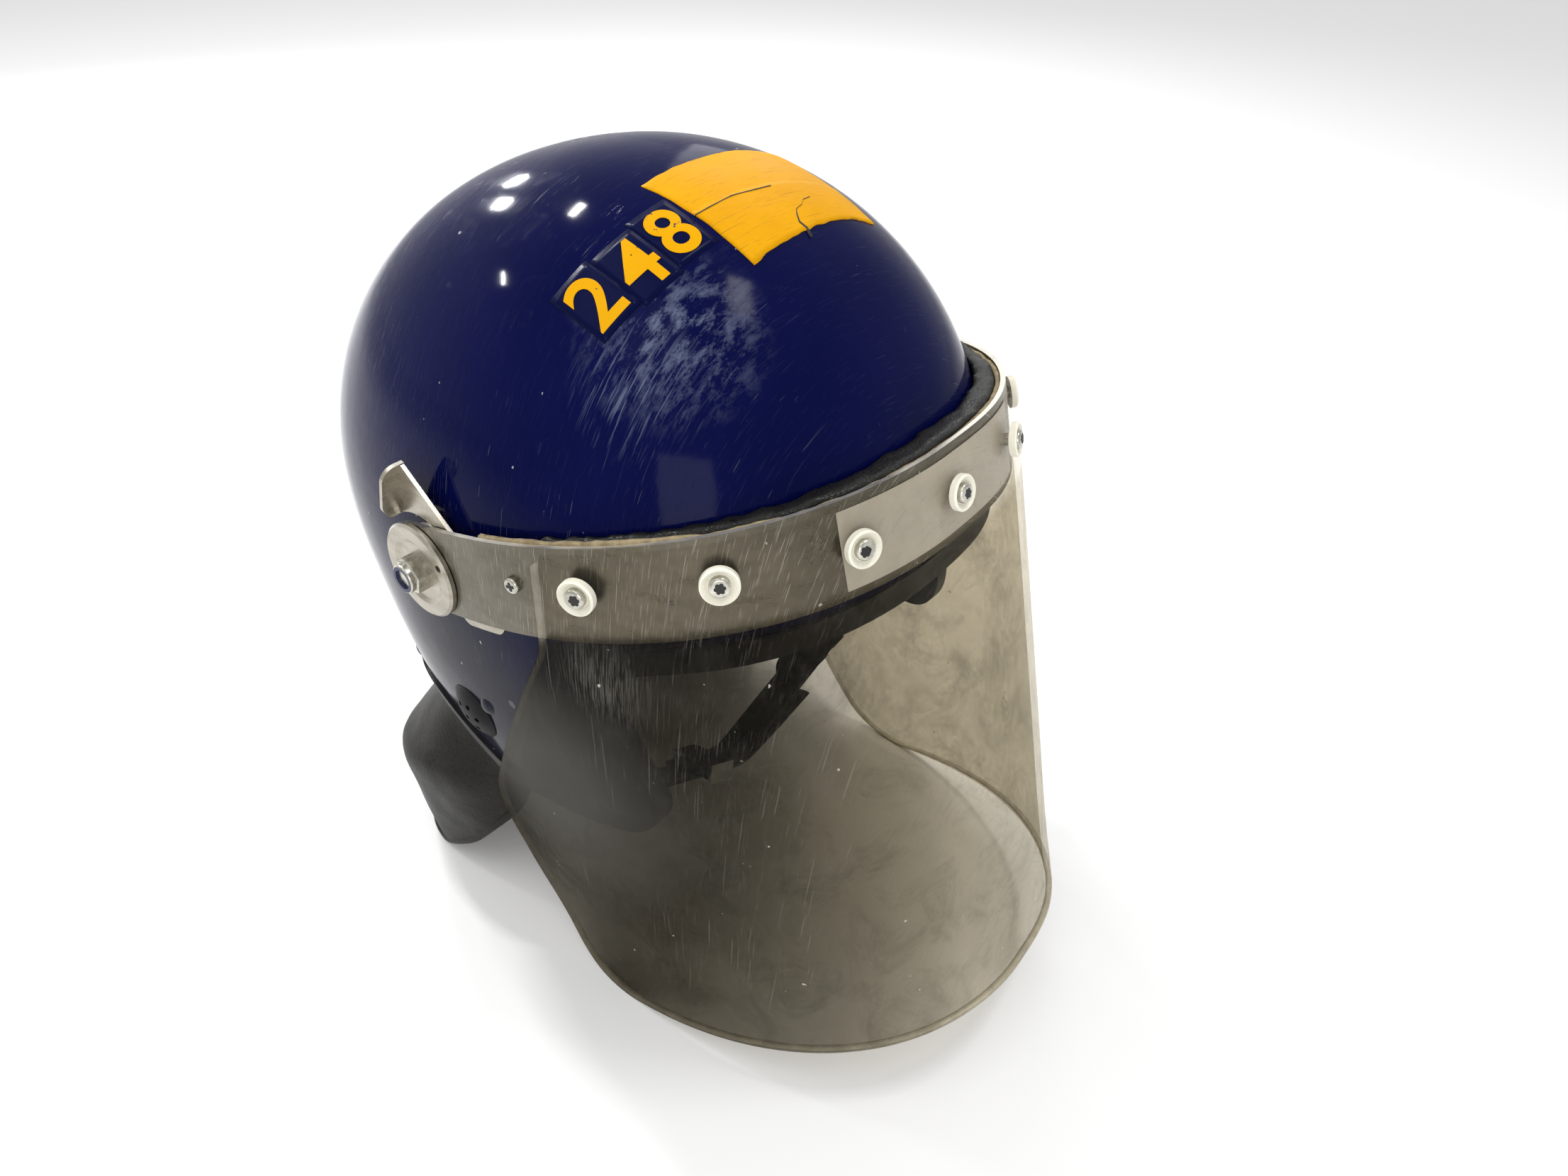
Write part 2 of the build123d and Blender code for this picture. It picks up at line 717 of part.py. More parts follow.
with BuildPart() as lever:
    add(band_layer(lever_face, lever_thickness, -overrun, overrun))
    add(lever_side.part, mode=Mode.INTERSECT)
    fold = Vector(0, *lever_top) - Vector(0, *lever_fold_low)
    tab_plane = Plane(
        origin=(lever_thickness - plate_x, *lever_fold_low),
        x_dir=(-1, 0, 0),
        z_dir=Vector(-1, 0, 0).cross(fold.normalized()),
    )
    with BuildSketch(tab_plane):
        with BuildLine():
            FilletPolyline(
                (0, 0),
                (tab_low_reach, 0),
                (tab_reach, fold.length * tab_bend_share),
                (tab_reach, fold.length),
                (0, fold.length),
                radius=(0, tab_corner / 2, tab_corner, tab_corner, 0),
                close=True,
            )
        make_face()
    extrude(amount=-lever_thickness)
    with Locations(Location(lever_screw_places[0])):
        Cylinder(lever_screw_diameter / 2 + bearing_clearance, overrun, mode=Mode.SUBTRACT)
keep_pair(lever, "lever")

# Lever screw, upset at its inner end, and the leaf that pushes the lever back
lever_grip = band_thickness + lever_gap + lever_thickness + lever_nut_gap
with BuildPart() as lever_screw:
    with Locations(Location(lever_screw_places[0])):
        Cylinder(lever_screw_head_diameter / 2, lever_screw_head_height, align=at_base)
        Cylinder(lever_screw_diameter / 2, lever_grip, align=at_top)
    with Locations(Location(band_place(lever_angle, pivot_z, -lever_grip))):
        Cylinder(lever_nut_diameter / 2, lever_nut_thickness, align=at_top)
    fillet(lever_screw.edges().filter_by(GeomType.CIRCLE).sort_by(Axis.X)[0], lever_screw_head_height / 2)
keep_pair(lever_screw, "lever_screw")

with BuildPart() as spring_side:
    with BuildSketch(Plane.YZ):
        with Locations(spring_anchor):
            Rectangle(*spring_anchor_size)
        with BuildLine():
            Polyline(*spring_leaf)
        trace(line_width=spring_thickness)
    extrude(amount=-half_span)
with BuildPart() as lever_spring:
    add(band_layer(-band_thickness, lever_thickness, -overrun, overrun))
    add(spring_side.part, mode=Mode.INTERSECT)
keep_pair(lever_spring, "lever_spring")

# Leather neck guard, flared under the nape and cut level where it stands
standing = Location((0, 0, 0), (-tilt, 0, 0))
rest_level = visor_sheet.part.moved(standing).bounding_box().min.Z


def floor_z(y):
    """Height of the floor in the level frame."""
    return (rest_level + y * sin(radians(tilt))) / cos(radians(tilt))


def ray_reach(angle, half_width, middle_y, front, rear, power):
    """Distance from the middle of the guard to a rounded outline, at an angle from -Y."""
    near, far = 0, half_width + front + rear
    while far - near > fit_gap / outline_steps**2:
        reach = (near + far) / 2
        offset_y = guard_middle_y - reach * cos(radians(angle)) - middle_y
        along = abs(offset_y) / (front if offset_y < 0 else rear)
        if abs(reach * sin(radians(angle)) / half_width) ** power + along**power < 1:
            near = reach
        else:
            far = reach
    return near


def guard_reach(angle, height):
    """Reach of the guard: along the inside of the shell above, blending into its flare below."""
    turn = abs((angle + 180) % 360 - 180)
    share = sqrt(1 - ((height - dome_level) / dome_drop) ** 2)
    upper = ray_reach(
        angle,
        (shell_half_width - guard_inset) * share,
        widest_y + crown_shift * (1 - share),
        guard_front_reach * share,
        (shell_rear - guard_inset) * share,
        plan_power,
    )
    lower = ray_reach(angle, *guard_lower_levels[0][1:], guard_power)
    (ear_turn, ear_z), (nape_turn, nape_z) = guard_flare_ear, guard_flare_nape
    round_share = min(1, max(0, (turn - ear_turn) / (nape_turn - ear_turn)))
    flare_z = ear_z + round_share * (nape_z - ear_z)
    blend = max(0, (flare_z - height) / (flare_z - guard_lower_levels[0][0]))
    blend = blend**2 * (3 - 2 * blend)
    return upper + blend * (lower - upper)


def guard_form(inset):
    """Solid inside the neck guard, moved inwards by an inset."""
    turns = [360 * step / outline_steps for step in range(outline_steps)]
    levels = []
    for height in guard_upper_levels:
        levels.append((height, [guard_reach(turn, height) for turn in turns]))
    for height, *outline in guard_lower_levels:
        levels.append((height, [ray_reach(turn, *outline, guard_power) for turn in turns]))
    with BuildPart() as form:
        for height, reaches in levels:
            points = []
            for turn, reach in zip(turns, reaches):
                x = -(reach - inset) * sin(radians(turn))
                points.append((x, guard_middle_y - (reach - inset) * cos(radians(turn))))
            with BuildSketch(Plane.XY.offset(height)):
                with BuildLine():
                    Spline(*points, periodic=True)
                make_face()
        loft()
    return form.part


guard_top_z = guard_upper_levels[0]
guard_rivet_reach = guard_inset + guard_wall + guard_rivet_spare
guard_corners = (
    (guard_front[0][0], guard_top_z),
    *guard_front,
    (guard_heel_y, floor_z(guard_heel_y)),
    (rear_y, floor_z(rear_y)),
    (rear_y, guard_top_z),
)
guard_radii = (0, *guard_front_radii, 0, 0)
with BuildPart() as neck_guard:
    add(guard_form(0))
    add(guard_form(guard_wall), mode=Mode.SUBTRACT)
    add(side_slab(guard_corners, guard_radii), mode=Mode.INTERSECT)
    with Locations(*guard_rivet_planes):
        Cylinder(rivet_shank_diameter / 2, overrun, mode=Mode.SUBTRACT)
keep(neck_guard, "neck_guard")

rivet_inner_end = Location((0, 0, -guard_rivet_reach))
with BuildPart() as guard_rivets:
    with Locations(*guard_rivet_planes):
        add(domed_head(guard_rivet_radius, guard_rivet_height))
    add(dome_outside, mode=Mode.SUBTRACT)
    with Locations(*guard_rivet_planes):
        Cylinder(rivet_shank_diameter / 2, guard_rivet_reach, align=at_top)
    with Locations(*[place * rivet_inner_end for place in guard_rivet_planes]):
        Cylinder(rivet_back_radius, rivet_back_thickness, align=at_top)
keep(guard_rivets, "guard_rivets")

# Ear pads, ring-shaped, cut back where the neck guard passes between them and the shell
ear_wall_x = shell_x(*ear_pad_place, liner_inset)
rivet_pocket = Location((0, 0, -shell_wall))
with BuildPart() as guard_zone:
    add(side_slab(guard_corners, guard_radii, fit_gap))
    add(guard_form(guard_wall + fit_gap), mode=Mode.SUBTRACT)
with BuildPart() as ear_lens:
    Sphere(1)
    scale(by=ear_pad_size)
with BuildPart() as ear_pad:
    add(dome_form(liner_inset))
    with Locations((-ear_wall_x, *ear_pad_place)):
        add(ear_lens.part, mode=Mode.INTERSECT)
    with Locations(Location(sideways(*ear_pad_place))):
        Cylinder(ear_pad_hole, 2 * half_span, mode=Mode.SUBTRACT)
    with Locations(rivet_planes[0] * rivet_pocket):
        Cylinder(rivet_back_radius + fit_gap, 2 * (rivet_back_thickness + fit_gap), mode=Mode.SUBTRACT)
    add(guard_zone.part, mode=Mode.SUBTRACT)
keep_pair(ear_pad, "ear_pad")

# Perforated ear vents, pressed into the shell
vent_plane = Location(shell_place(*vent_place))
with BuildPart() as vent_blank:
    add(domed_head(vent_radius, vent_rise))
    with PolarLocations(vent_hole_ring, vent_hole_count):
        Cylinder(vent_hole_diameter / 2, overrun, mode=Mode.SUBTRACT)
    Cylinder(vent_hole_diameter / 2, overrun, mode=Mode.SUBTRACT)
with BuildPart() as ear_vent:
    with Locations(vent_plane):
        add(vent_blank.part)
    add(dome_outside, mode=Mode.SUBTRACT)
    with BuildPart(vent_plane, mode=Mode.ADD):
        Cylinder(vent_shank_radius, shell_wall, align=at_top)
        Cylinder(vent_shank_radius - vent_shank_wall, 2 * shell_wall, align=at_top, mode=Mode.SUBTRACT)
keep_pair(ear_vent, "ear_vent")

# Rivets that hold the chin straps and ear pads, domed outside and flat inside
rivet_grips = (0, strap_thickness + 5 * fit_gap)
with BuildPart() as strap_rivets:
    with Locations(*rivet_planes):
        add(domed_head(rivet_radius, rivet_height))
    add(dome_outside, mode=Mode.SUBTRACT)
    for place, grip in zip(rivet_planes, rivet_grips):
        with Locations(place):
            Cylinder(rivet_shank_diameter / 2, shell_wall + grip, align=at_top)
        with Locations(place * Location((0, 0, -shell_wall - grip))):
            Cylinder(rivet_back_radius, rivet_back_thickness, align=at_top)
keep_pair(strap_rivets, "strap_rivets")

# Chin strap, two webbing halves that lap in a buckle, the left one with a pad
low_x, low_z = strap_low
run_end_x, run_end_z = strap_run[-1]
right_run = [(-x, z) for x, z in strap_run]
right_low_z = low_z - strap_lap
lap_slope = (run_end_z - right_low_z) / (-run_end_x - low_x)
arm_slope = (run_end_z - low_z) / (run_end_x - low_x)
left_end = (strap_left_end_x, low_z + lap_slope * (strap_left_end_x - low_x))
strap_plane = Plane.XZ.offset(-strap_y - strap_width / 2)


def strap_form(route):
    """Webbing along a route seen from the front, with its rivet hole."""
    with BuildPart() as webbing:
        with BuildSketch(strap_plane):
            with BuildLine():
                FilletPolyline(*route, radius=strap_bends)
            trace(line_width=strap_thickness)
        extrude(amount=strap_width)
        with Locations(rivet_planes[-1]):
            Cylinder(rivet_shank_diameter / 2 + fit_gap, overrun / 2, mode=Mode.SUBTRACT)
    return webbing


chin_strap_right = strap_form((*right_run, (low_x, right_low_z), strap_tail))
keep(chin_strap_right, "chin_strap_right")

left_route = (*strap_run, strap_low, left_end)
chin_strap_left = mirrored(strap_form([(-x, z) for x, z in left_route]))
keep(chin_strap_left, "chin_strap_left")

buckle_z = right_low_z + strap_lap / 2 + lap_slope * (buckle_x - low_x)
with BuildPart() as strap_buckle:
    with Locations(Location((buckle_x, strap_y, buckle_z), (0, degrees(atan(-lap_slope)), 0))):
        Box(*buckle_size)
        Box(buckle_size[0], *buckle_slot, mode=Mode.SUBTRACT)
    fillet(strap_buckle.edges().group_by(SortBy.LENGTH)[0], buckle_corner / 2)
keep(strap_buckle, "strap_buckle")

pad_z = low_z + arm_slope * (chin_pad_x - low_x)
pad_place = Location((chin_pad_x, strap_y, pad_z), (0, degrees(atan(-arm_slope)), 0))
with BuildPart() as pad_blank:
    Sphere(1)
    scale(by=chin_pad_size)
    split(bisect_by=Plane.XY, keep=Keep.TOP)
with BuildPart() as chin_pad:
    with Locations(pad_place * Location((0, 0, strap_thickness / 2 + fit_gap))):
        add(pad_blank.part)
keep(chin_pad, "chin_pad")

# Standing pose, with the origin on the floor under the middle of the whole
boxes = [piece.moved(standing).bounding_box() for piece in pieces]
low_y = min(box.min.Y for box in boxes)
high_y = max(box.max.Y for box in boxes)
placing = Location((0, -(low_y + high_y) / 2, -rest_level)) * standing
for piece in pieces:
    placed = piece.moved(placing)
    placed.label = piece.label
    export_step(placed, f"parts/{piece.label}.step")
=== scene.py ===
"""Looks of the police riot helmet, around its CAD solids: materials, soft pieces, films, lamps and camera."""
import json
import math

import bmesh
import bpy
import numpy as np
from mathutils import Matrix, Vector, noise as field
from mathutils.bvhtree import BVHTree


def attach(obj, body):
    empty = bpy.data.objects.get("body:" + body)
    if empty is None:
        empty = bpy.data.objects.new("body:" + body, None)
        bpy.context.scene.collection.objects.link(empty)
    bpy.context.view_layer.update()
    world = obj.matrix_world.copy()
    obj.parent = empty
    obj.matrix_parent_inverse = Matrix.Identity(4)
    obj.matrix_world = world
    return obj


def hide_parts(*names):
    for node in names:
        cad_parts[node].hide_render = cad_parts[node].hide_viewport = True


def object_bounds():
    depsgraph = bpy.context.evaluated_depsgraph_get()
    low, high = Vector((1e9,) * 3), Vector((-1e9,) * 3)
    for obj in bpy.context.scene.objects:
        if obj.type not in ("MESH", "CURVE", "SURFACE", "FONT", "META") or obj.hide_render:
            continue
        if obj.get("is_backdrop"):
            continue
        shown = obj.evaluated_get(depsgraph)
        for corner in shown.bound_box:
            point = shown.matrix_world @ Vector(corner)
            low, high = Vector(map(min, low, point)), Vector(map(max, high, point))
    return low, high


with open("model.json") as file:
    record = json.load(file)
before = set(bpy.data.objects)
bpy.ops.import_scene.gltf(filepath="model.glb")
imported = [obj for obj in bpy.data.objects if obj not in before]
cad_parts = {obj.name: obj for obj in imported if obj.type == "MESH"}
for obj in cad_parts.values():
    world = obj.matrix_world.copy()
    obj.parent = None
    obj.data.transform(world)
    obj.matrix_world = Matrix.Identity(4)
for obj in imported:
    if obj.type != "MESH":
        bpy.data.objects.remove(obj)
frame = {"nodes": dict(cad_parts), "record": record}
nodes = frame["nodes"]
cad_bounds = [list(corner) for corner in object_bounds()]
scene = bpy.context.scene

# The helmet's own level frame, in millimetres, tilted and moved into the standing frame.
# The record's joints give both: the pivot of the visor, and the turn of the lever's axis.
joints = {joint["name"]: joint for joint in frame["record"]["behaviour"]["joints"]}
PIVOT = Vector(joints["visor_hinge"]["pos_m"])
lever_axis = joints["release_lever_right"]["axis"]
TILT = math.atan2(lever_axis[2], -lever_axis[1])
COS, SIN = math.cos(TILT), math.sin(TILT)
MM = 0.001

# The band's outline from above, a superellipse round a middle, in level millimetres
BAND_HALF_X, BAND_HALF_Y, BAND_MIDDLE_Y = 125.2, 142.0, -15.4
BAND_POWER = 2.33

# Places in the photograph, in its pixels
SCUFF_PIXEL = (948, 468)
BRUSHED_PIXEL = (900, 545)
DIGIT_PIXELS = ((838, 424), (898, 374), (948, 326))
WINDOW_PIXEL = (1050, 425)
TUBE_PIXELS = ((822, 293), (712, 288), (735, 258), (706, 396))


def turn(v):
    """A direction of the level frame in the standing frame."""
    return Vector((v[0], v[1] * COS + v[2] * SIN, -v[1] * SIN + v[2] * COS))


def place(v):
    """A point of the level frame, in millimetres, in the standing frame, in metres."""
    return turn(v) * MM + PIVOT


def level(v):
    """A point of the standing frame back in the level frame, in millimetres."""
    p = (Vector(v) - PIVOT) / MM
    return Vector((p.x, p.y * COS - p.z * SIN, p.y * SIN + p.z * COS))


# Camera: its place, its directions and its focal length and middle in pixels, as solved on the photograph
FOCAL, MID_X, MID_Y = 1560.0, 1106.0, 829.5
SENSOR_WIDTH, LENS = 36.0, 25.39
cam_data = bpy.data.cameras.new("camera")
cam = bpy.data.objects.new("camera", cam_data)
scene.collection.objects.link(cam)
scene.camera = cam
cam_data.sensor_fit = "HORIZONTAL"
cam_data.sensor_width = SENSOR_WIDTH
cam_data.lens = LENS
cam_data.clip_start = 0.01
cam_data.clip_end = 50
right = turn((0.63981, -0.7502, -0.16689))
down = turn((-0.45151, -0.19119, -0.87154))
ahead = turn((0.62192, 0.63297, -0.46104))
spot = place((-303.53, -372.22, 165.41))
cam.matrix_world = Matrix((
    (right.x, -down.x, -ahead.x, spot.x),
    (right.y, -down.y, -ahead.y, spot.y),
    (right.z, -down.z, -ahead.z, spot.z),
    (0, 0, 0, 1),
))
scene.view_settings.view_transform = "Standard"


def tree_of(name):
    """A CAD node's faces, for rays."""
    mesh = nodes[name].data
    corners = [v.co for v in mesh.vertices]
    return BVHTree.FromPolygons(corners, [tuple(p.vertices) for p in mesh.polygons])


RAY_START = 0.04
GLINT_DISTANCE = 1.6
shell_tree = tree_of("shell")
guard_tree = tree_of("neck_guard")
sheet_tree = tree_of("visor_sheet")


def pixel_on_shell(pixel):
    """The point of the shell, and its normal, that a pixel of the photograph shows."""
    ray = (ahead * FOCAL + right * (pixel[0] - MID_X) + down * (pixel[1] - MID_Y)).normalized()
    hit, normal, _, _ = shell_tree.ray_cast(spot, ray)
    if normal.dot(ray) > 0:
        normal = -normal
    return hit, normal


def onto_shell(point, normal, lift):
    """A point moved along a normal onto the shell, and lifted off it."""
    hit, face, _, _ = shell_tree.ray_cast(point + normal * RAY_START, -normal)
    if face.dot(normal) < 0:
        face = -face
    return hit + face * lift


# Node helpers


def material(name):
    m = bpy.data.materials.new(name)
    m.use_nodes = True
    nt = m.node_tree
    return m, nt, nt.nodes["Principled BSDF"]


def node(nt, kind, **values):
    n = nt.nodes.new(kind)
    for key, value in values.items():
        setattr(n, key, value)
    return n


def link(nt, a, b):
    nt.links.new(a, b)


def feed(nt, value, socket):
    """Links a socket, or sets a number or a colour."""
    if isinstance(value, bpy.types.NodeSocket):
        nt.links.new(value, socket)
    elif socket.type == "RGBA" and not isinstance(value, (int, float)):
        socket.default_value = value if len(value) == 4 else (*value, 1)
    elif socket.type == "RGBA":
        socket.default_value = (value, value, value, 1)
    else:
        socket.default_value = value


def coords(nt, scale=(1, 1, 1), rotation=(0, 0, 0)):
    tex = node(nt, "ShaderNodeTexCoord")
    mapping = node(nt, "ShaderNodeMapping")
    mapping.inputs["Scale"].default_value = scale
    mapping.inputs["Rotation"].default_value = rotation
    link(nt, tex.outputs["Object"], mapping.inputs["Vector"])
    return mapping.outputs["Vector"]


def noise(nt, vector, scale, detail=4, rough=0.55, distortion=0.0):
    n = node(nt, "ShaderNodeTexNoise")
    for key, value in (("Scale", scale), ("Detail", detail), ("Roughness", rough), ("Distortion", distortion)):
        n.inputs[key].default_value = value
    link(nt, vector, n.inputs["Vector"])
    return n.outputs["Fac"]


def ramp(nt, fac, stops, kind="LINEAR"):
    n = node(nt, "ShaderNodeValToRGB")
    n.color_ramp.interpolation = kind
    elements = n.color_ramp.elements
    elements.remove(elements[-1])
    for i, (at, value) in enumerate(stops):
        element = elements[0] if i == 0 else elements.new(at)
        element.position = at
        element.color = (value, value, value, 1) if isinstance(value, (int, float)) else (*value, 1)
    link(nt, fac, n.inputs["Fac"])
    return n.outputs["Color"]


def step(nt, fac, low, high):
    return ramp(nt, fac, ((low, 0), (high, 1)))


def mix(nt, fac, a, b, blend="MIX"):
    n = node(nt, "ShaderNodeMix", data_type="RGBA", blend_type=blend)
    for i, value in ((0, fac), (6, a), (7, b)):
        feed(nt, value, n.inputs[i])
    return n.outputs[2]


def maths(nt, operation, a, b=0.0, clamp=False):
    n = node(nt, "ShaderNodeMath", operation=operation, use_clamp=clamp)
    feed(nt, a, n.inputs[0])
    feed(nt, b, n.inputs[1])
    return n.outputs[0]


def times(nt, a, b):
    return maths(nt, "MULTIPLY", a, b)


def bump(nt, height, strength, distance, normal=None):
    n = node(nt, "ShaderNodeBump")
    n.inputs["Strength"].default_value = strength
    n.inputs["Distance"].default_value = distance
    link(nt, height, n.inputs["Height"])
    if normal is not None:
        link(nt, normal, n.inputs["Normal"])
    return n.outputs["Normal"]


def near(nt, centre, inner, outer):
    """1 around a point of the object, falling to 0 from one distance to another, in metres."""
    tex = node(nt, "ShaderNodeTexCoord")
    n = node(nt, "ShaderNodeVectorMath", operation="DISTANCE")
    link(nt, tex.outputs["Object"], n.inputs[0])
    n.inputs[1].default_value = centre
    mr = node(nt, "ShaderNodeMapRange")
    for key, value in (("From Min", inner), ("From Max", outer), ("To Min", 1.0), ("To Max", 0.0)):
        mr.inputs[key].default_value = value
    link(nt, n.outputs["Value"], mr.inputs["Value"])
    return mr.outputs["Result"]


def scratches(nt, scale, stretch, turns, low=0.70, high=0.74):
    """Thin random scratches in a few directions, 0 to 1."""
    total = None
    for i, angle in enumerate(turns):
        vector = coords(nt, (1, stretch, 1), (angle, angle * 0.7, angle * 1.3 + i))
        line = step(nt, noise(nt, vector, scale * (1 + 0.3 * i), 2, 0.4), low, high)
        total = line if total is None else mix(nt, 1.0, total, line, "LIGHTEN")
    return total


# White floor, under a world that is white for the camera, glass and gloss and softer as a light
FLOOR = 6
floor_mesh = bpy.data.meshes.new("floor")
corners = [(-FLOOR, -FLOOR, 0), (FLOOR, -FLOOR, 0), (FLOOR, FLOOR, 0), (-FLOOR, FLOOR, 0)]
floor_mesh.from_pydata(corners, [], [(0, 1, 2, 3)])
floor = bpy.data.objects.new("floor", floor_mesh)
scene.collection.objects.link(floor)
m, nt, bsdf = material("floor_white")
bsdf.inputs["Base Color"].default_value = (0.93, 0.93, 0.93, 1)
bsdf.inputs["Roughness"].default_value = 0.9
bsdf.inputs["Specular IOR Level"].default_value = 0.0
floor.data.materials.append(m)
floor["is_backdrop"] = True

world = bpy.data.worlds.new("world")
scene.world = world
world.use_nodes = True
wnt = world.node_tree
back = wnt.nodes["Background"]
back.inputs["Color"].default_value = (1, 1, 1, 1)
back.inputs["Strength"].default_value = 0.72
bright = wnt.nodes.new("ShaderNodeBackground")
bright.inputs["Strength"].default_value = 1.0
path = wnt.nodes.new("ShaderNodeLightPath")
either = maths(wnt, "MAXIMUM", path.outputs["Is Camera Ray"], path.outputs["Is Transmission Ray"])
either = maths(wnt, "MAXIMUM", either, path.outputs["Is Glossy Ray"])
choose = wnt.nodes.new("ShaderNodeMixShader")
wnt.links.new(either, choose.inputs[0])
wnt.links.new(back.outputs[0], choose.inputs[1])
wnt.links.new(bright.outputs[0], choose.inputs[2])
wnt.links.new(choose.outputs[0], wnt.nodes["World Output"].inputs["Surface"])


def lamp(name, where, aim, size, watts, colour=(1, 1, 1)):
    """A rectangular lamp at a place, aimed at another."""
    data = bpy.data.lights.new(name, "AREA")
    data.shape = "RECTANGLE"
    data.size, data.size_y = size
    data.energy = watts
    data.color = colour
    o = bpy.data.objects.new(name, data)
    scene.collection.objects.link(o)
    o.location = where
    o.rotation_euler = (Vector(aim) - Vector(where)).to_track_quat("-Z", "Y").to_euler()


def glint(name, pixel, size, watts):
    """A small lamp whose reflection shows on the shell at a pixel of the photograph."""
    hit, normal = pixel_on_shell(pixel)
    ray = (hit - spot).normalized()
    mirrored = ray - 2 * ray.dot(normal) * normal
    lamp(name, hit + mirrored * GLINT_DISTANCE, hit, size, watts)


lamp("key", (-0.7, 0.1, 1.8), (0, 0, 0.2), (1.4, 0.9), 5, (1, 0.99, 0.97))
lamp("fill", (-1.6, -1.3, 0.9), (0, 0, 0.15), (0.9, 0.9), 12)
lamp("rim", (1.4, 0.9, 1.2), (0, 0, 0.2), (0.6, 0.9), 4)
glint("window", WINDOW_PIXEL, (0.42, 0.2), 7.0)
tube_sizes = ((0.16, 0.07), (0.1, 0.04), (0.1, 0.02), (0.1, 0.022))
tube_watts = (11.0, 4.0, 2.6, 2.4)
for letter, pixel, size, watts in zip("abcd", TUBE_PIXELS, tube_sizes, tube_watts):
    glint(f"tube_{letter}", pixel, size, watts)

# Materials


def navy_shell():
    """Glossy navy paint: a scuffed patch on the brow whose pale colour is partly painted highlight, scratches,
    chips, and a dim grey patch of painted shade low on the side.
    """
    m, nt, bsdf = material("navy_paint")
    v = coords(nt)
    cloud = noise(nt, v, 11, 4)
    base = mix(nt, step(nt, cloud, 0.35, 0.7), (0.0008, 0.0022, 0.034), (0.0022, 0.0036, 0.046))
    scuffed = pixel_on_shell(SCUFF_PIXEL)[0]
    brushed = pixel_on_shell(BRUSHED_PIXEL)[0]
    low_side = place((-118, 20, -75))
    mottled = step(nt, noise(nt, coords(nt, (1, 2.6, 1), (0.5, 0.3, 0.9)), 95, 6, 0.75), 0.47, 0.62)
    patch = times(nt, near(nt, scuffed, 0.004, 0.036), mottled)
    lines = scratches(nt, 44, 24, (2.3, 2.6, 2.0), 0.62, 0.7)
    strokes = times(nt, near(nt, brushed, 0.002, 0.026), lines)
    worn = mix(nt, 1.0, patch, strokes, "LIGHTEN")
    stray = step(nt, noise(nt, coords(nt, (1, 3, 1), (0.2, 0.9, 0.4)), 70, 6, 0.75), 0.66, 0.74)
    worn = mix(nt, 1.0, worn, times(nt, stray, step(nt, noise(nt, v, 13, 3), 0.5, 0.62)), "LIGHTEN")
    fine = scratches(nt, 60, 60, (0.3, 1.2, 2.1), 0.70, 0.73)
    where = step(nt, noise(nt, v, 8, 2), 0.45, 0.6)
    deep = times(nt, scratches(nt, 40, 30, (0.9, 2.6, 1.7), 0.745, 0.76), where)
    chips = step(nt, noise(nt, v, 210, 2, 0.3), 0.795, 0.81)
    low_side_shade = near(nt, low_side, 0.035, 0.11)
    # Pale blue-grey of the scuffs and strokes: real wear, made paler as a painted highlight
    colour = mix(nt, times(nt, worn, 0.7), base, (0.15, 0.18, 0.27))
    colour = mix(nt, times(nt, fine, 0.16), colour, (0.05, 0.06, 0.11))
    # Painted shade: the paint turns a dim grey low on the wearer's right side
    colour = mix(nt, times(nt, low_side_shade, 0.8), colour, (0.012, 0.0115, 0.013))
    colour = mix(nt, times(nt, deep, 0.4), colour, (0.2, 0.21, 0.25))
    colour = mix(nt, chips, colour, (0.32, 0.33, 0.34))
    link(nt, colour, bsdf.inputs["Base Color"])
    rough = ramp(nt, noise(nt, v, 24, 6, 0.6), ((0.3, 0.07), (0.72, 0.13)))
    link(nt, mix(nt, times(nt, worn, 0.8), rough, 0.4), bsdf.inputs["Roughness"])
    bsdf.inputs["Specular IOR Level"].default_value = 0.04
    ripple = bump(nt, noise(nt, v, 24, 2), 0.06, 0.002)
    marks = mix(nt, 1.0, mix(nt, 1.0, fine, deep, "ADD"), worn, "ADD")
    link(nt, bump(nt, marks, 0.15, 0.0003, ripple), bsdf.inputs["Normal"])
    return m


def simple(name, dark, light, rough=(0.4, 0.6), scale=60, metallic=0.0, bumps=0.15, depth=0.0005,
           stretch=(1, 1, 1), scratch=None, specular=0.5, dirt=0.5, edge=None):
    """A surface whose colour, roughness and height vary with one grain, with optional scratches and an optional
    painted highlight on faces that look up.
    """
    m, nt, bsdf = material(name)
    grain = noise(nt, coords(nt, stretch), scale, 5, 0.6)
    colour = mix(nt, step(nt, grain, 0.3, 0.7), dark, light)
    cloud = step(nt, noise(nt, coords(nt), 26, 4), 0.4, 0.75)
    colour = mix(nt, times(nt, cloud, dirt), colour, tuple(c * 0.55 for c in dark))
    if scratch:
        lines = scratches(nt, *scratch["lines"])
        colour = mix(nt, times(nt, lines, scratch["mix"]), colour, scratch["colour"])
    # Painted highlight: faces that look up take a pale colour, as if lit from above
    if edge:
        n = node(nt, "ShaderNodeVectorMath", operation="DOT_PRODUCT")
        link(nt, node(nt, "ShaderNodeNewGeometry").outputs["Normal"], n.inputs[0])
        n.inputs[1].default_value = turn((0, 0, 1))
        colour = mix(nt, step(nt, n.outputs["Value"], 0.6, 0.85), colour, edge)
    link(nt, colour, bsdf.inputs["Base Color"])
    link(nt, ramp(nt, grain, ((0.3, rough[0]), (0.75, rough[1]))), bsdf.inputs["Roughness"])
    bsdf.inputs["Metallic"].default_value = metallic
    bsdf.inputs["Specular IOR Level"].default_value = specular
    link(nt, bump(nt, grain, bumps, depth), bsdf.inputs["Normal"])
    return m


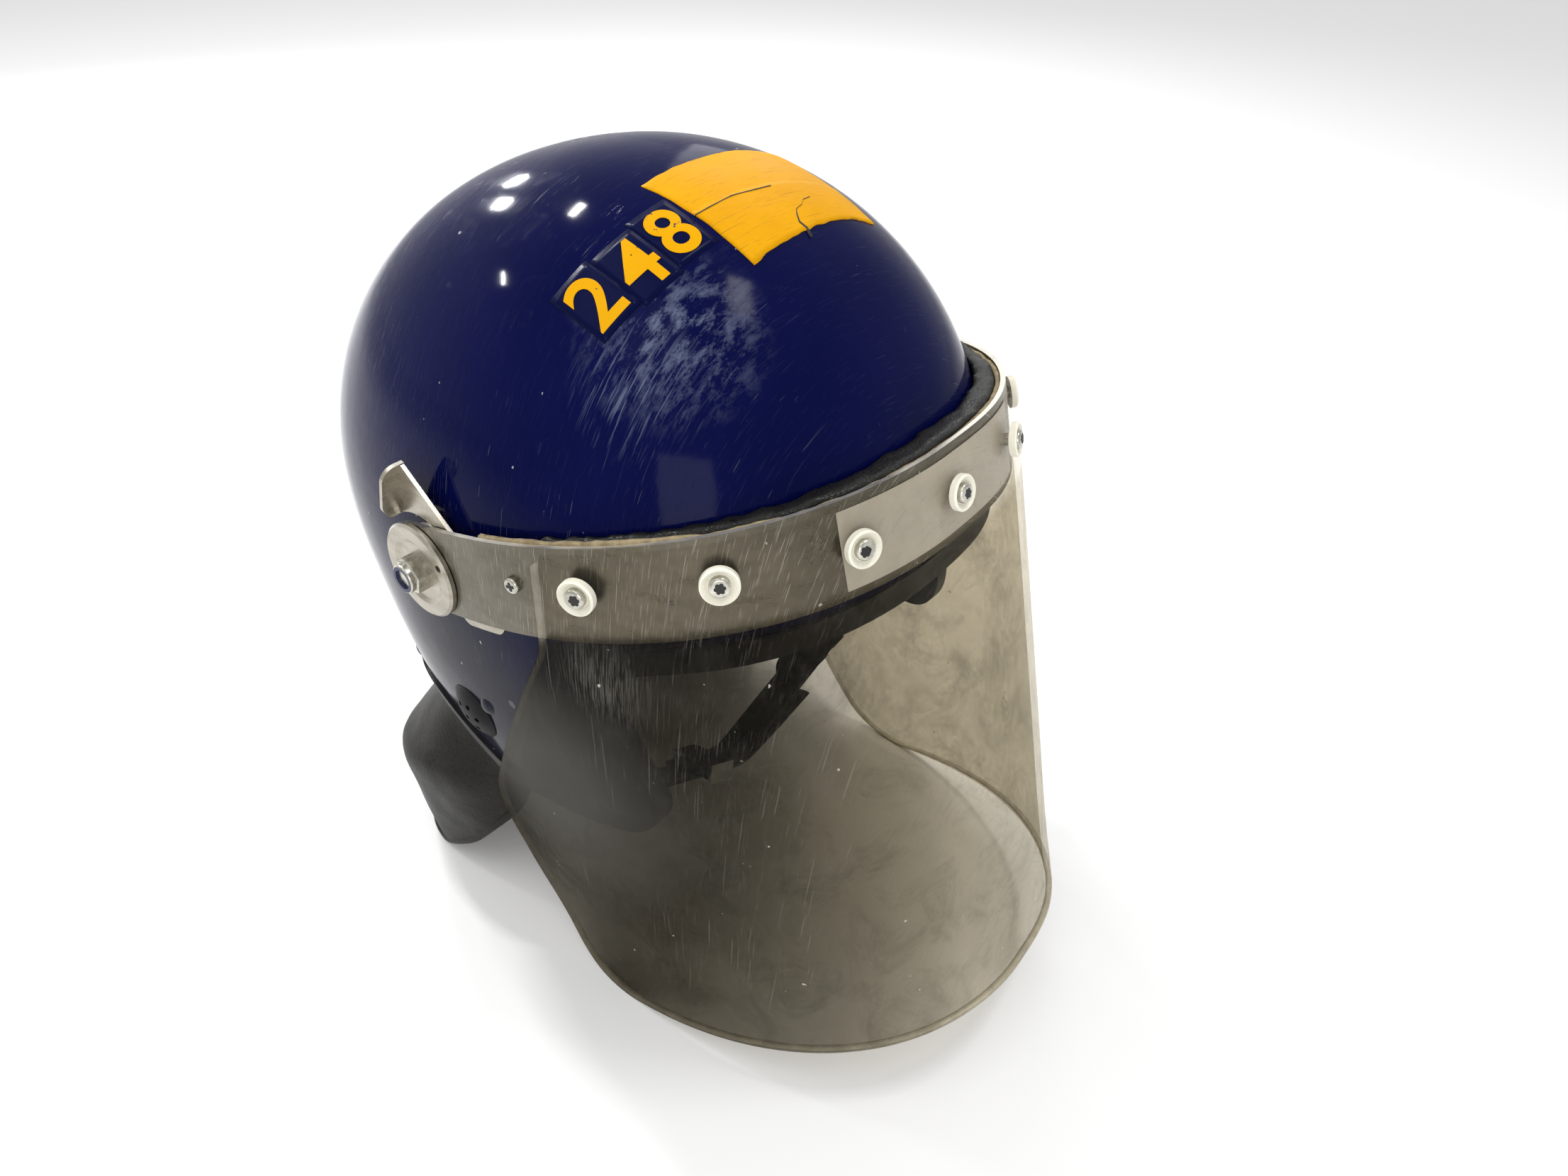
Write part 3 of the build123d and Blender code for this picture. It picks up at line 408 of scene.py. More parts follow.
def along(nt, way, low, high):
    """0 before a place and 1 past another along a level direction, in level millimetres from the pivots."""
    tex = node(nt, "ShaderNodeTexCoord")
    n = node(nt, "ShaderNodeVectorMath", operation="DOT_PRODUCT")
    link(nt, tex.outputs["Object"], n.inputs[0])
    n.inputs[1].default_value = turn(way)
    base = PIVOT.dot(turn(way))
    mr = node(nt, "ShaderNodeMapRange")
    mr.inputs["From Min"].default_value = base + low * MM
    mr.inputs["From Max"].default_value = base + high * MM
    link(nt, n.outputs["Value"], mr.inputs["Value"])
    return mr.outputs["Result"]


def above(nt, low, high):
    """0 below a level height and 1 above another."""
    return along(nt, (0, 0, 1), low, high)


def times_colour(nt, colour, share):
    """A colour socket times a number."""
    return mix(nt, 1.0, colour, (share, share, share), "MULTIPLY")


def clear_sheet():
    """Tinted see-through sheet, hazier where dirt and scratches lie, its tint darker over the wearer's right
    side as painted shade, with a paler patch there of haze and painted sheen.
    """
    m, nt, bsdf = material("hazy_polycarbonate")
    v = coords(nt)
    smoke = step(nt, noise(nt, coords(nt, (1, 1, 0.7)), 8, 4, 0.5, 0.6), 0.35, 0.7)
    grime = step(nt, noise(nt, v, 42, 7, 0.7), 0.5, 0.75)
    specks = step(nt, noise(nt, v, 260, 3, 0.4), 0.765, 0.78)
    fine = scratches(nt, 70, 70, (0.2, 1.4, 2.3, 2.9), 0.69, 0.72)
    where = step(nt, noise(nt, v, 15, 2), 0.48, 0.58)
    deep = times(nt, scratches(nt, 22, 60, (0.5, 2.0), 0.70, 0.715), where)
    lines = scratches(nt, 60, 26, (0.9, 1.6, 2.4), 0.55, 0.62)
    cluster = times(nt, near(nt, place((-100, -78, -33)), 0.004, 0.03), lines)
    marks = mix(nt, 1.0, times(nt, fine, 0.3), times(nt, deep, 0.35), "LIGHTEN")
    marks = mix(nt, 1.0, marks, times(nt, cluster, 0.8), "LIGHTEN")
    base = mix(nt, smoke, (0.17, 0.16, 0.135), (0.26, 0.25, 0.215))
    base = mix(nt, marks, base, (0.42, 0.41, 0.37))
    link(nt, mix(nt, specks, base, (0.5, 0.48, 0.42)), bsdf.inputs["Base Color"])
    link(nt, ramp(nt, grime, ((0.0, 0.1), (1.0, 0.3))), bsdf.inputs["Roughness"])
    bsdf.inputs["Specular IOR Level"].default_value = 0.5
    clear = node(nt, "ShaderNodeBsdfTransparent")
    over_band = above(nt, -19, -15)
    # Painted shade: the tint is darker over the wearer's right side and lighter toward the front
    near_side_shade = mix(nt, along(nt, (1, 0, 0), -115, -30), (0.42, 0.4, 0.355), (0.82, 0.79, 0.72))
    tint = mix(nt, times(nt, smoke, 0.5), near_side_shade, times_colour(nt, near_side_shade, 0.86))
    stain = step(nt, noise(nt, v, 34, 8, 0.75, 1.2), 0.48, 0.72)
    tint = mix(nt, times(nt, stain, 0.75), tint, times_colour(nt, tint, 0.7))
    link(nt, mix(nt, over_band, tint, (0.95, 0.94, 0.92)), clear.inputs["Color"])
    hazy = ramp(nt, smoke, ((0.0, 0.022), (1.0, 0.05)))
    cloudy = ramp(nt, smoke, ((0.0, 0.75), (1.0, 0.95)))
    # Haze and painted sheen: a paler patch low on the wearer's right side of the sheet
    sheen_haze = times(nt, near(nt, place((-122, -36, -95)), 0.02, 0.072), cloudy)
    hazy = mix(nt, sheen_haze, hazy, 0.26)
    hazy = mix(nt, times(nt, grime, 0.3), hazy, 0.2)
    hazy = mix(nt, over_band, hazy, times(nt, hazy, 0.45))
    hazy = mix(nt, 1.0, hazy, times(nt, marks, 0.6), "LIGHTEN")
    hazy = mix(nt, 1.0, hazy, times(nt, specks, 0.7), "LIGHTEN")
    both = node(nt, "ShaderNodeMixShader")
    link(nt, hazy, both.inputs[0])
    link(nt, clear.outputs[0], both.inputs[1])
    link(nt, bsdf.outputs[0], both.inputs[2])
    link(nt, both.outputs[0], nt.nodes["Material Output"].inputs["Surface"])
    link(nt, bump(nt, mix(nt, 1.0, marks, grime, "ADD"), 0.1, 0.00004), bsdf.inputs["Normal"])
    m.surface_render_method = "BLENDED"
    return m


def webbing():
    """Woven black strap, its weave in the colour and the relief."""
    m, nt, bsdf = material("black_webbing")
    v = coords(nt)
    wave = node(nt, "ShaderNodeTexWave", wave_type="BANDS", bands_direction="DIAGONAL")
    wave.inputs["Scale"].default_value = 330
    wave.inputs["Distortion"].default_value = 0.6
    link(nt, v, wave.inputs["Vector"])
    other = node(nt, "ShaderNodeTexWave", wave_type="BANDS", bands_direction="Y")
    other.inputs["Scale"].default_value = 420
    link(nt, v, other.inputs["Vector"])
    weave = mix(nt, 1.0, wave.outputs["Fac"], other.outputs["Fac"], "MULTIPLY")
    fuzz = noise(nt, v, 300, 3)
    colour = mix(nt, weave, (0.008, 0.008, 0.009), (0.04, 0.04, 0.038))
    link(nt, mix(nt, times(nt, fuzz, 0.3), colour, (0.06, 0.058, 0.05)), bsdf.inputs["Base Color"])
    link(nt, ramp(nt, fuzz, ((0.3, 0.75), (0.7, 0.9))), bsdf.inputs["Roughness"])
    bsdf.inputs["Sheen Weight"].default_value = 0.3
    link(nt, bump(nt, weave, 0.5, 0.0006), bsdf.inputs["Normal"])
    return m


def leather(name, dark, light, worn_colour, rough, scale=520):
    """Grained leather or vinyl, paler on its folds."""
    m, nt, bsdf = material(name)
    v = coords(nt)
    cell = node(nt, "ShaderNodeTexVoronoi", feature="DISTANCE_TO_EDGE")
    cell.inputs["Scale"].default_value = scale
    link(nt, v, cell.inputs["Vector"])
    grain = step(nt, cell.outputs["Distance"], 0.0, 0.12)
    folds = noise(nt, coords(nt, (1, 1, 2.2)), 30, 5, 0.6, 0.8)
    cloud = noise(nt, v, 18, 4)
    colour = mix(nt, step(nt, cloud, 0.3, 0.75), dark, light)
    worn = step(nt, folds, 0.56, 0.72)
    colour = mix(nt, times(nt, worn, 0.55), colour, worn_colour)
    colour = mix(nt, grain, tuple(0.5 * c for c in dark), colour)
    link(nt, colour, bsdf.inputs["Base Color"])
    link(nt, ramp(nt, cloud, ((0.3, rough[0]), (0.7, rough[1]))), bsdf.inputs["Roughness"])
    bsdf.inputs["Specular IOR Level"].default_value = 0.2
    large = bump(nt, folds, 0.3, 0.002)
    link(nt, bump(nt, grain, 0.3, 0.0004, large), bsdf.inputs["Normal"])
    return m


def tape():
    """Yellow tape, rubbed and scratched, its wear dark where the paint shows through."""
    m, nt, bsdf = material("yellow_tape")
    v = coords(nt)
    cloud = noise(nt, v, 30, 5, 0.6)
    colour = mix(nt, step(nt, cloud, 0.35, 0.7), (0.64, 0.295, 0.0004), (0.72, 0.34, 0.0008))
    rub = step(nt, noise(nt, coords(nt, (1, 5, 1), (0, 0, 0.5)), 60, 6, 0.75), 0.6, 0.74)
    colour = mix(nt, times(nt, rub, 0.4), colour, (0.42, 0.2, 0.01))
    lines = scratches(nt, 55, 50, (0.4, 1.5, 2.4), 0.7, 0.72)
    colour = mix(nt, times(nt, lines, 0.55), colour, (0.16, 0.09, 0.02))
    link(nt, colour, bsdf.inputs["Base Color"])
    link(nt, ramp(nt, cloud, ((0.3, 0.35), (0.7, 0.5))), bsdf.inputs["Roughness"])
    bsdf.inputs["Specular IOR Level"].default_value = 0.05
    wavy = bump(nt, noise(nt, coords(nt, (1, 3, 1), (0, 0, 0.4)), 34, 3), 0.3, 0.001)
    link(nt, bump(nt, lines, 0.2, 0.0003, wavy), bsdf.inputs["Normal"])
    return m


def digit_film(name, base, flaked, amount):
    """Film with flakes gone from it."""
    m, nt, bsdf = material(name)
    v = coords(nt)
    flakes = step(nt, noise(nt, v, 230, 5, 0.6), amount, amount + 0.03)
    whole = mix(nt, noise(nt, v, 60, 3), base, tuple(0.85 * c for c in base))
    link(nt, mix(nt, flakes, whole, flaked), bsdf.inputs["Base Color"])
    link(nt, ramp(nt, noise(nt, v, 90, 3), ((0.3, 0.2), (0.7, 0.38))), bsdf.inputs["Roughness"])
    bsdf.inputs["Specular IOR Level"].default_value = 0.05
    link(nt, bump(nt, flakes, 0.4, 0.0002), bsdf.inputs["Normal"])
    return m


metal_scratch = {"lines": (60, 50, (0.15, 1.35, 2.2), 0.68, 0.72), "mix": 0.5, "colour": (0.5, 0.48, 0.42)}
mats = {
    "shell_paint": navy_shell(),
    "visor_clear": clear_sheet(),
    "strap_webbing": webbing(),
    "guard_leather": leather(
        "black_leather", (0.006, 0.0055, 0.0038), (0.017, 0.0152, 0.0105), (0.042, 0.038, 0.027), (0.36, 0.55)
    ),
    "trim_rubber": simple(
        "black_rubber", (0.004, 0.004, 0.0042), (0.011, 0.011, 0.0108), (0.45, 0.65), 90, 0, 0.2, 0.0006
    ),
    "liner_foam": simple(
        "grey_foam", (0.012, 0.0115, 0.01), (0.028, 0.026, 0.022), (0.8, 0.95), 420, 0, 0.5, 0.0008
    ),
    "pad_fabric": simple(
        "black_cloth", (0.005, 0.005, 0.0048), (0.016, 0.016, 0.0152), (0.8, 0.95), 700, 0, 0.4, 0.0005
    ),
    "vent_plastic": simple(
        "dark_plastic", (0.002, 0.002, 0.0022), (0.006, 0.006, 0.0065), (0.4, 0.6), 120, specular=0.12
    ),
    "rivet_metal": simple(
        "painted_rivet", (0.002, 0.003, 0.012), (0.01, 0.012, 0.03), (0.22, 0.4), 300, specular=0.25
    ),
    "buckle_metal": simple("buckle_steel", (0.2, 0.2, 0.19), (0.4, 0.4, 0.38), (0.3, 0.5), 160, 1.0),
    "pivot_steel": simple(
        "zinc_steel", (0.34, 0.33, 0.28), (0.72, 0.7, 0.62), (0.18, 0.36), 260, 1.0, 0.2, 0.0003
    ),
    # The band's last colour is a painted highlight on its faces that look up
    "band_aluminium": simple(
        "satin_aluminium", (0.105, 0.094, 0.070), (0.165, 0.15, 0.118), (0.24, 0.4), 60, 0.9, 0.06, 0.0003,
        (1, 1, 3), metal_scratch, 0.5, 0.3, (0.72, 0.69, 0.61)
    ),
    "nylon_white": simple(
        "white_nylon", (0.78, 0.75, 0.62), (0.9, 0.88, 0.77), (0.35, 0.55), 150, 0, 0.15, 0.0004, dirt=0.15
    ),
    "nylon_blue": simple("blue_nylon", (0.003, 0.006, 0.035), (0.008, 0.016, 0.08), (0.35, 0.5), 200),
    "label_white": simple(
        "white_film", (0.36, 0.33, 0.28), (0.5, 0.46, 0.39), (0.25, 0.4), 40, 0, 0.05, 0.0002, dirt=0.1
    ),
}
tape_yellow = tape()
digit_yellow = digit_film("digit_yellow", (0.72, 0.35, 0.001), (0.01, 0.012, 0.05), 0.655)
digit_navy = digit_film("digit_navy", (0.001, 0.003, 0.035), (0.22, 0.115, 0.006), 0.715)
seal_vinyl = leather(
    "black_vinyl", (0.008, 0.008, 0.0075), (0.02, 0.0195, 0.017), (0.035, 0.033, 0.028), (0.25, 0.45), 700
)
tan_foam = simple("tan_foam", (0.16, 0.115, 0.055), (0.42, 0.34, 0.2), (0.8, 0.95), 260, 0, 0.6, 0.001)

# The sheet's cut edge as a pale strip of painted highlight, strong along the bottom and hardly seen up the
# sides
rim_painted_highlight = simple(
    "painted_highlight_rim", (0.62, 0.59, 0.5), (0.9, 0.87, 0.77), (0.15, 0.35), 120, 0, 0.1, 0.0003, dirt=0.15
)
rim_tree = rim_painted_highlight.node_tree
shown = ramp(rim_tree, above(rim_tree, -222, -195), ((0.0, 0.85), (1.0, 0.16)))
link(rim_tree, shown, rim_tree.nodes["Principled BSDF"].inputs["Alpha"])

# A lighter copy of the band's aluminium for the cover discs and levers: its lightness is painted highlight, and
# so is its last colour, on faces that look up
highlit_aluminium = simple(
    "aluminium_painted_highlight", (0.3, 0.275, 0.225), (0.46, 0.425, 0.36), (0.22, 0.38), 70, 0.9, 0.06, 0.0003,
    (1, 1, 3), metal_scratch, 0.5, 0.3, (0.75, 0.72, 0.64)
)
slot_of = {s["node"]: s["material_slot"] for s in frame["record"]["subparts"]}
for name, o in nodes.items():
    o.data.materials.clear()
    # The cover discs and levers take the lighter copy of the aluminium, with its painted highlight
    turned = slot_of[name] == "band_aluminium" and name.startswith(("cover_disc", "lever_"))
    o.data.materials.append(highlit_aluminium if turned else mats[slot_of[name]])

# Pieces in mesh code


def add_piece(name, verts, faces, mat, body, smooth=True, closed=True):
    """A piece from vertices and faces, its normals turned outwards where it is closed."""
    mesh = bpy.data.meshes.new(name)
    mesh.from_pydata([tuple(v) for v in verts], [], faces)
    bm = bmesh.new()
    bm.from_mesh(mesh)
    bmesh.ops.remove_doubles(bm, verts=bm.verts, dist=1e-6)
    if closed:
        bmesh.ops.recalc_face_normals(bm, faces=bm.faces)
    bm.to_mesh(mesh)
    bm.free()
    piece = bpy.data.objects.new(name, mesh)
    scene.collection.objects.link(piece)
    return dress(piece, mat, body, smooth)


def dress(piece, mat, body, smooth=True):
    """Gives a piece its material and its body."""
    piece.data.materials.clear()
    piece.data.materials.append(mat)
    piece.data.polygons.foreach_set("use_smooth", [smooth] * len(piece.data.polygons))
    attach(piece, body)
    return piece


def rounded(route, radii, spacing):
    """Points along a route whose corners are rounded, at about a spacing."""
    route = [Vector(p) for p in route]
    points = [route[0]]
    for before, corner, after, radius in zip(route, route[1:], route[2:], radii):
        a, b = (before - corner).normalized(), (after - corner).normalized()
        half = math.acos(max(-1, min(1, a.dot(b)))) / 2
        if radius < 0.01 or half > 1.55:
            points.append(corner)
            continue
        cut = radius / math.tan(half)
        centre = corner + (a + b).normalized() * radius / math.sin(half)
        first, last = corner + a * cut - centre, corner + b * cut - centre
        sweep_angle = math.pi - 2 * half
        steps = max(2, int(radius * sweep_angle / spacing))
        for i in range(steps + 1):
            share = i / steps
            spoke = first * math.sin((1 - share) * sweep_angle) + last * math.sin(share * sweep_angle)
            points.append(centre + spoke / math.sin(sweep_angle))
    points.append(route[-1])
    filled = []
    for a, b in zip(points, points[1:]):
        steps = max(1, round((b - a).length / spacing))
        filled += [a.lerp(b, i / steps) for i in range(steps)]
    return filled + [points[-1]]


def sweep(points, section, ups, closed=False):
    """Vertices and faces of a section, (across, up) pairs or a function of the step, swept along points."""
    verts, faces = [], []
    count = len(points)
    for i, point in enumerate(points):
        before = points[i - 1] if i or closed else points[0]
        after = points[(i + 1) % count] if i + 1 < count or closed else points[-1]
        along = (after - before).normalized()
        up = ups[i] if isinstance(ups, list) else ups
        across = along.cross(up).normalized()
        up = across.cross(along).normalized()
        ring = section(i) if callable(section) else section
        verts += [point + across * a + up * b for a, b in ring]
    size = len(verts) // count
    for i in range(count if closed else count - 1):
        for k in range(size):
            j, n = (i + 1) % count, (k + 1) % size
            faces.append((i * size + k, i * size + n, j * size + n, j * size + k))
    if not closed:
        faces += [tuple(range(size)), tuple((count - 1) * size + k for k in range(size))]
    return verts, faces


def circle(radius, sides):
    """Corners of a round section."""
    angles = [2 * math.pi * k / sides for k in range(sides)]
    return [(radius * math.cos(a), radius * math.sin(a)) for a in angles]


def strip_section(width, thick):
    """Section of a webbing strip with thinner, rounded edges."""
    half, edge = width / 2, thick / 2
    left = [(-half, 0), (-half + edge, edge * 0.85), (-half * 0.6, edge)]
    profile = left + [(0, edge * 0.92)] + [(-a, b) for a, b in reversed(left)]
    return profile + [(a, -b) for a, b in reversed(profile[1:-1])]


def baked(piece):
    """Applies a piece's modifiers to its mesh."""
    graph = bpy.context.evaluated_depsgraph_get()
    mesh = bpy.data.meshes.new_from_object(piece.evaluated_get(graph))
    piece.modifiers.clear()
    piece.data = mesh


def soft_copy(name, node_name, voxel):
    """A CAD solid's form as an even mesh that can be shaped further."""
    piece = bpy.data.objects.new(name, nodes[node_name].data.copy())
    scene.collection.objects.link(piece)
    remesh = piece.modifiers.new("remesh", "REMESH")
    remesh.mode = "VOXEL"
    remesh.voxel_size = voxel
    baked(piece)
    smooth = piece.modifiers.new("smooth", "SMOOTH")
    smooth.factor = 0.5
    smooth.iterations = 3
    baked(piece)
    return piece


def reshape(piece, move):
    """Moves each vertex by a function of its place and normal, in level millimetres."""
    normals = [v.normal.copy() for v in piece.data.vertices]
    for v, normal in zip(piece.data.vertices, normals):
        v.co += turn(move(level(v.co), normal)) * MM


CLOTH_FRAMES = 12


def plump(piece, cap):
    """Swells a pad under pressure in the cloth solver, each point by no more than a cap in metres."""
    rest = [v.co.copy() for v in piece.data.vertices]
    cloth = piece.modifiers.new("cloth", "CLOTH")
    cloth.settings.use_pressure = True
    cloth.settings.uniform_pressure_force = 4
    cloth.settings.effector_weights.gravity = 0
    cloth.settings.quality = 5
    for number in range(1, CLOTH_FRAMES + 1):
        scene.frame_set(number)
    baked(piece)
    scene.frame_set(1)
    for v, start in zip(piece.data.vertices, rest):
        away = v.co - start
        if away.length > cap:
            v.co = start + away.normalized() * cap


def valley(distance, width):
    """1 on a line, falling to 0 beside it."""
    return math.exp(-((distance / width) ** 2))


SEAM_WIDTH = 2.2


def pad(name, node_name, voxel, cap, grooves, depth, slot="pad_fabric", shrink=0.8):
    """A padded piece for a CAD pad: shrunk, swollen, then sewn with channels."""
    piece = soft_copy(name, node_name, voxel)
    for v in piece.data.vertices:
        v.co -= v.normal * shrink * MM
    plump(piece, cap)
    reshape(piece, lambda p, n: level_normal(n) * -depth * max(valley(d, SEAM_WIDTH) for d in grooves(p)))
    piece.modifiers.new("subdivide", "SUBSURF").levels = 1
    piece.modifiers["subdivide"].render_levels = 1
    baked(piece)
    dress(piece, mats[slot], "helmet")
    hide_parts(node_name)
    return piece


def level_normal(n):
    """A direction of the standing frame in the level frame."""
    return Vector((n.x, n.y * COS - n.z * SIN, n.y * SIN + n.z * COS))


def ripple(p, wave, seed=0.0):
    """A smooth random value between about -1 and 1 at a place."""
    return field.noise(Vector(p) / wave + Vector((seed, seed * 0.7, -seed)))


# Foam liner and padding
HEAD_MIDDLE_Y = -5
ARC_PER_DEGREE = 1.6


def off_spoke(p, apart):
    """How far a point lies from the nearest of the seams that run out from the middle of the head."""
    turned = math.degrees(math.atan2(p.x, -(p.y - HEAD_MIDDLE_Y)))
    return abs((turned + apart / 2) % apart - apart / 2) * ARC_PER_DEGREE


def liner_grooves(p):
    return [off_spoke(p, 45), abs(p.z - 30)]


def band_grooves(p):
    return [off_spoke(p, 30), abs(p.z + 8)]


def crown_grooves(p):
    return [abs(p.x), abs(p.y), abs(abs(p.x) - 30), abs(abs(p.y) - 38)]


def ear_grooves(p):
    return [abs(abs(p.x) - 96)]


def chin_grooves(p):
    return [abs((p.x + 62) % 14 - 7)]


pad("foam_liner", "energy_liner", 0.005, 0.0004, liner_grooves, 1.2, "liner_foam", 0.3)
pad("sweatband", "head_band_pad", 0.004, 0.0016, band_grooves, 2.0)
pad("crown_cushion", "crown_pad", 0.004, 0.002, crown_grooves, 2.4)
for side in ("right", "left"):
    pad(f"ear_cushion_{side}", f"ear_pad_{side}", 0.0028, 0.0014, ear_grooves, 0.8)
pad("chin_cushion", "chin_pad", 0.0025, 0.0016, chin_grooves, 1.1)

# Leather neck guard with creases and a rolled edge
BEAD_RADIUS = 0.0023
BEAD_STEPS = 120
BEAD_GAP = 0.003


def guard_creases(p, n):
    """Creases in the hide, from its seam down to its free edge."""
    free = min(1, max(0, (-100 - p.z) / 25))
    out = Vector((p.x, p.y - 60, 0)).normalized()
    fall = ripple((p.x, p.y, p.z * 0.5), 34, 3) * 1.9 + ripple(p, 13, 8) * 0.5
    return out * fall * free


guard = soft_copy("guard_hide", "neck_guard", 0.0018)
reshape(guard, guard_creases)
for v in guard.data.vertices:
    v.co.z = max(v.co.z, 0.0001)
dress(guard, mats["guard_leather"], "helmet")
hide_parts("neck_guard")


def wall_of(tree, origin, ray):
    """Middle of a wall, and the way out of it, along a ray that starts inside it, or None."""
    inner = tree.ray_cast(origin, ray)[0]
    outer = tree.ray_cast(origin + ray * 0.4, -ray)[0]
    return None if inner is None or outer is None else ((inner + outer) / 2, outer - inner)


def floor_level(y, rise=0.0):
    """Level height of the plane a rise above the floor, at a level y."""
    return (rise - PIVOT.z / MM + y * SIN) / COS


last_corner = (110, floor_level(110, 2.4))
front_corners = ((60, -92), (31.6, -104.6), (29.6, -122), (47.3, -156.3), (76.6, -178.2), last_corner)
front_edge = rounded([(0, y, z) for y, z in front_corners], (6, 8, 24, 24), 2.5)
edges = {}
for sx in (-1, 1):
    edges[sx] = []
    for p in front_edge:
        found = wall_of(guard_tree, place((0, p.y, p.z)), Vector((sx, 0, 0)))
        if found:
            edges[sx].append(found[0])
base_edge = []
last = {sx: edges[sx][-1] for sx in (-1, 1)}
hub = Vector((0, 0.085, 0.0024))  # inside the guard, just above the floor
start, end = (math.atan2(last[sx].x, last[sx].y - hub.y) for sx in (-1, 1))
for i in range(1, BEAD_STEPS):
    angle = start + (end - start) * i / BEAD_STEPS
    found = wall_of(guard_tree, hub, Vector((math.sin(angle), math.cos(angle), 0)))
    if found and min((found[0] - last[-1]).length, (found[0] - last[1]).length) > BEAD_GAP:
        base_edge.append(found[0])
bead_path = edges[-1] + base_edge + edges[1][::-1]
for _ in range(3):
    eased = [(a + b * 2 + c) / 4 for a, b, c in zip(bead_path, bead_path[1:], bead_path[2:])]
    bead_path = [bead_path[0]] + eased + [bead_path[-1]]
bead_path = [Vector((p.x, p.y, max(p.z, BEAD_RADIUS))) for p in bead_path]
verts, faces = sweep(bead_path, circle(BEAD_RADIUS, 12), Vector((0.1, 0.2, 1)))
add_piece("guard_rolled_edge", verts, faces, mats["guard_leather"], "helmet")

# Chin straps: webbing along the CAD routes, with a little wander
STRAP_Y, STRAP_WIDTH, STRAP_THICKNESS = -17.0, 0.020, 0.0021
RUN = [(112.0, -54.0), (108.7, -88.0), (103.6, -108.0), (100.6, -124.0)]


def strap(name, node_name, route, seed):
    """A strap along a route of (x, z) places, its width along Y."""
    points = rounded([(x, 0, z) for x, z in route], (40, 40, 12, 24), 2.5)
    middle = [place((p.x, STRAP_Y + 1.2 * ripple(p, 40, seed), p.z)) for p in points]
    section = [(b, a) for a, b in strip_section(STRAP_WIDTH, STRAP_THICKNESS)]
    verts, faces = sweep(middle, section, turn((0, 1, 0)))
    piece = add_piece(name, verts, faces, mats["strap_webbing"], "helmet")
    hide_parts(node_name)


right_low, right_tail = (-14.0, -160.6), (40.0, -151.6)
strap("webbing_right", "chin_strap_right", [(-x, z) for x, z in RUN] + [right_low, right_tail], 2)
lap = (-124 + 160.6) / (-100.6 + 14)  # slope of the right strap's low run, which the left one follows
left_low, left_end = (-14.0, -158.0), (-46.0, -158.0 + lap * -32.0)
strap("webbing_left", "chin_strap_left", RUN + [left_low, left_end], 5)

# Vinyl seal and foam strip between the band and the brow


def seal_folds(p, n):
    """Puckers along the seal's top, and the loose stretch at the wearer's left."""
    turned = math.degrees(math.atan2(p.x, -(p.y + 15)))
    top = min(1, max(0, (p.z - 14) / 6))
    loose = valley(turned - 60, 15) * 5.0
    folds = 0.8 * ripple((turned * 0.9, 0, 0), 4, 2) + 0.5 * ripple(p, 7, 4)
    return Vector((0, 0, top * (folds + loose * (0.6 + 0.8 * ripple((turned, 0, 0), 7, 9)))))


seal = soft_copy("vinyl_seal", "brow_seal", 0.002)
reshape(seal, seal_folds)
dress(seal, seal_vinyl, "visor")
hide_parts("brow_seal")


def band_point(angle, grow, z):
    """Point of the band's outline at an angle from the front towards the wearer's left, moved outwards."""
    side, front = math.sin(angle), math.cos(angle)
    x = math.copysign(abs(side) ** (2 / BAND_POWER), side) * (BAND_HALF_X + grow)
    reach = math.copysign(abs(front) ** (2 / BAND_POWER), front) * (BAND_HALF_Y + grow)
    return Vector((x, BAND_MIDDLE_Y - reach, z))


FOAM_INSET, FOAM_HEIGHT = -3.1, 16.2
foam_path = [band_point(math.radians(a), FOAM_INSET, FOAM_HEIGHT) for a in np.linspace(-82, 82, 190)]


def foam_section(i):
    """Section of the foam strip at a step, its top torn and, past the wearer's right, lower."""
    torn = 0.0006 * ripple((i, 0, 0), 3.1, 1) + 0.0009 * max(0, ripple((i, 3, 0), 9, 6))
    rag = torn - 0.0016 * min(1, max(0, (i - 36) / 10))
    low = [(-0.0008, -0.0037), (0.0008, -0.0037), (0.0009, 0.0)]
    return low + [(0.0009, 0.0036 + rag), (-0.0008, 0.0038 + rag), (-0.0009, 0.0)]


verts, faces = sweep([place(p) for p in foam_path], foam_section, turn((0, 0, 1)))
strip = add_piece("foam_strip", verts, faces, tan_foam, "visor")
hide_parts("seal_foam")

# Cut edge of the visor sheet, a pale strip of painted highlight, from one side round the front to the other
side_edge = [(-70, 16), (-62, -22), (30, -128), (24, -177), (-2, -233), (-110, -230.9)]
side_edge = rounded([(0, y, z) for y, z in side_edge], (26, 45, 60, 40), 2.0)
BOTTOM_Z = -200  # below this the edge is the sheet's bottom
FRONT_STEPS = 90
FRONT_Z = -230.5
EDGE_INSET = 0.4


def sheet_inwards(i):
    """The way into the sheet, across its outline, at a point of its side edge."""
    after = side_edge[min(i + 1, len(side_edge) - 1)]
    before = side_edge[max(i - 1, 0)]
    run = (after - before).normalized()
    inwards = Vector((0, -run.z, run.y))
    if side_edge[i].z > BOTTOM_Z:
        return -inwards if inwards.y > 0 else inwards
    return inwards if inwards.z > 0 else -inwards


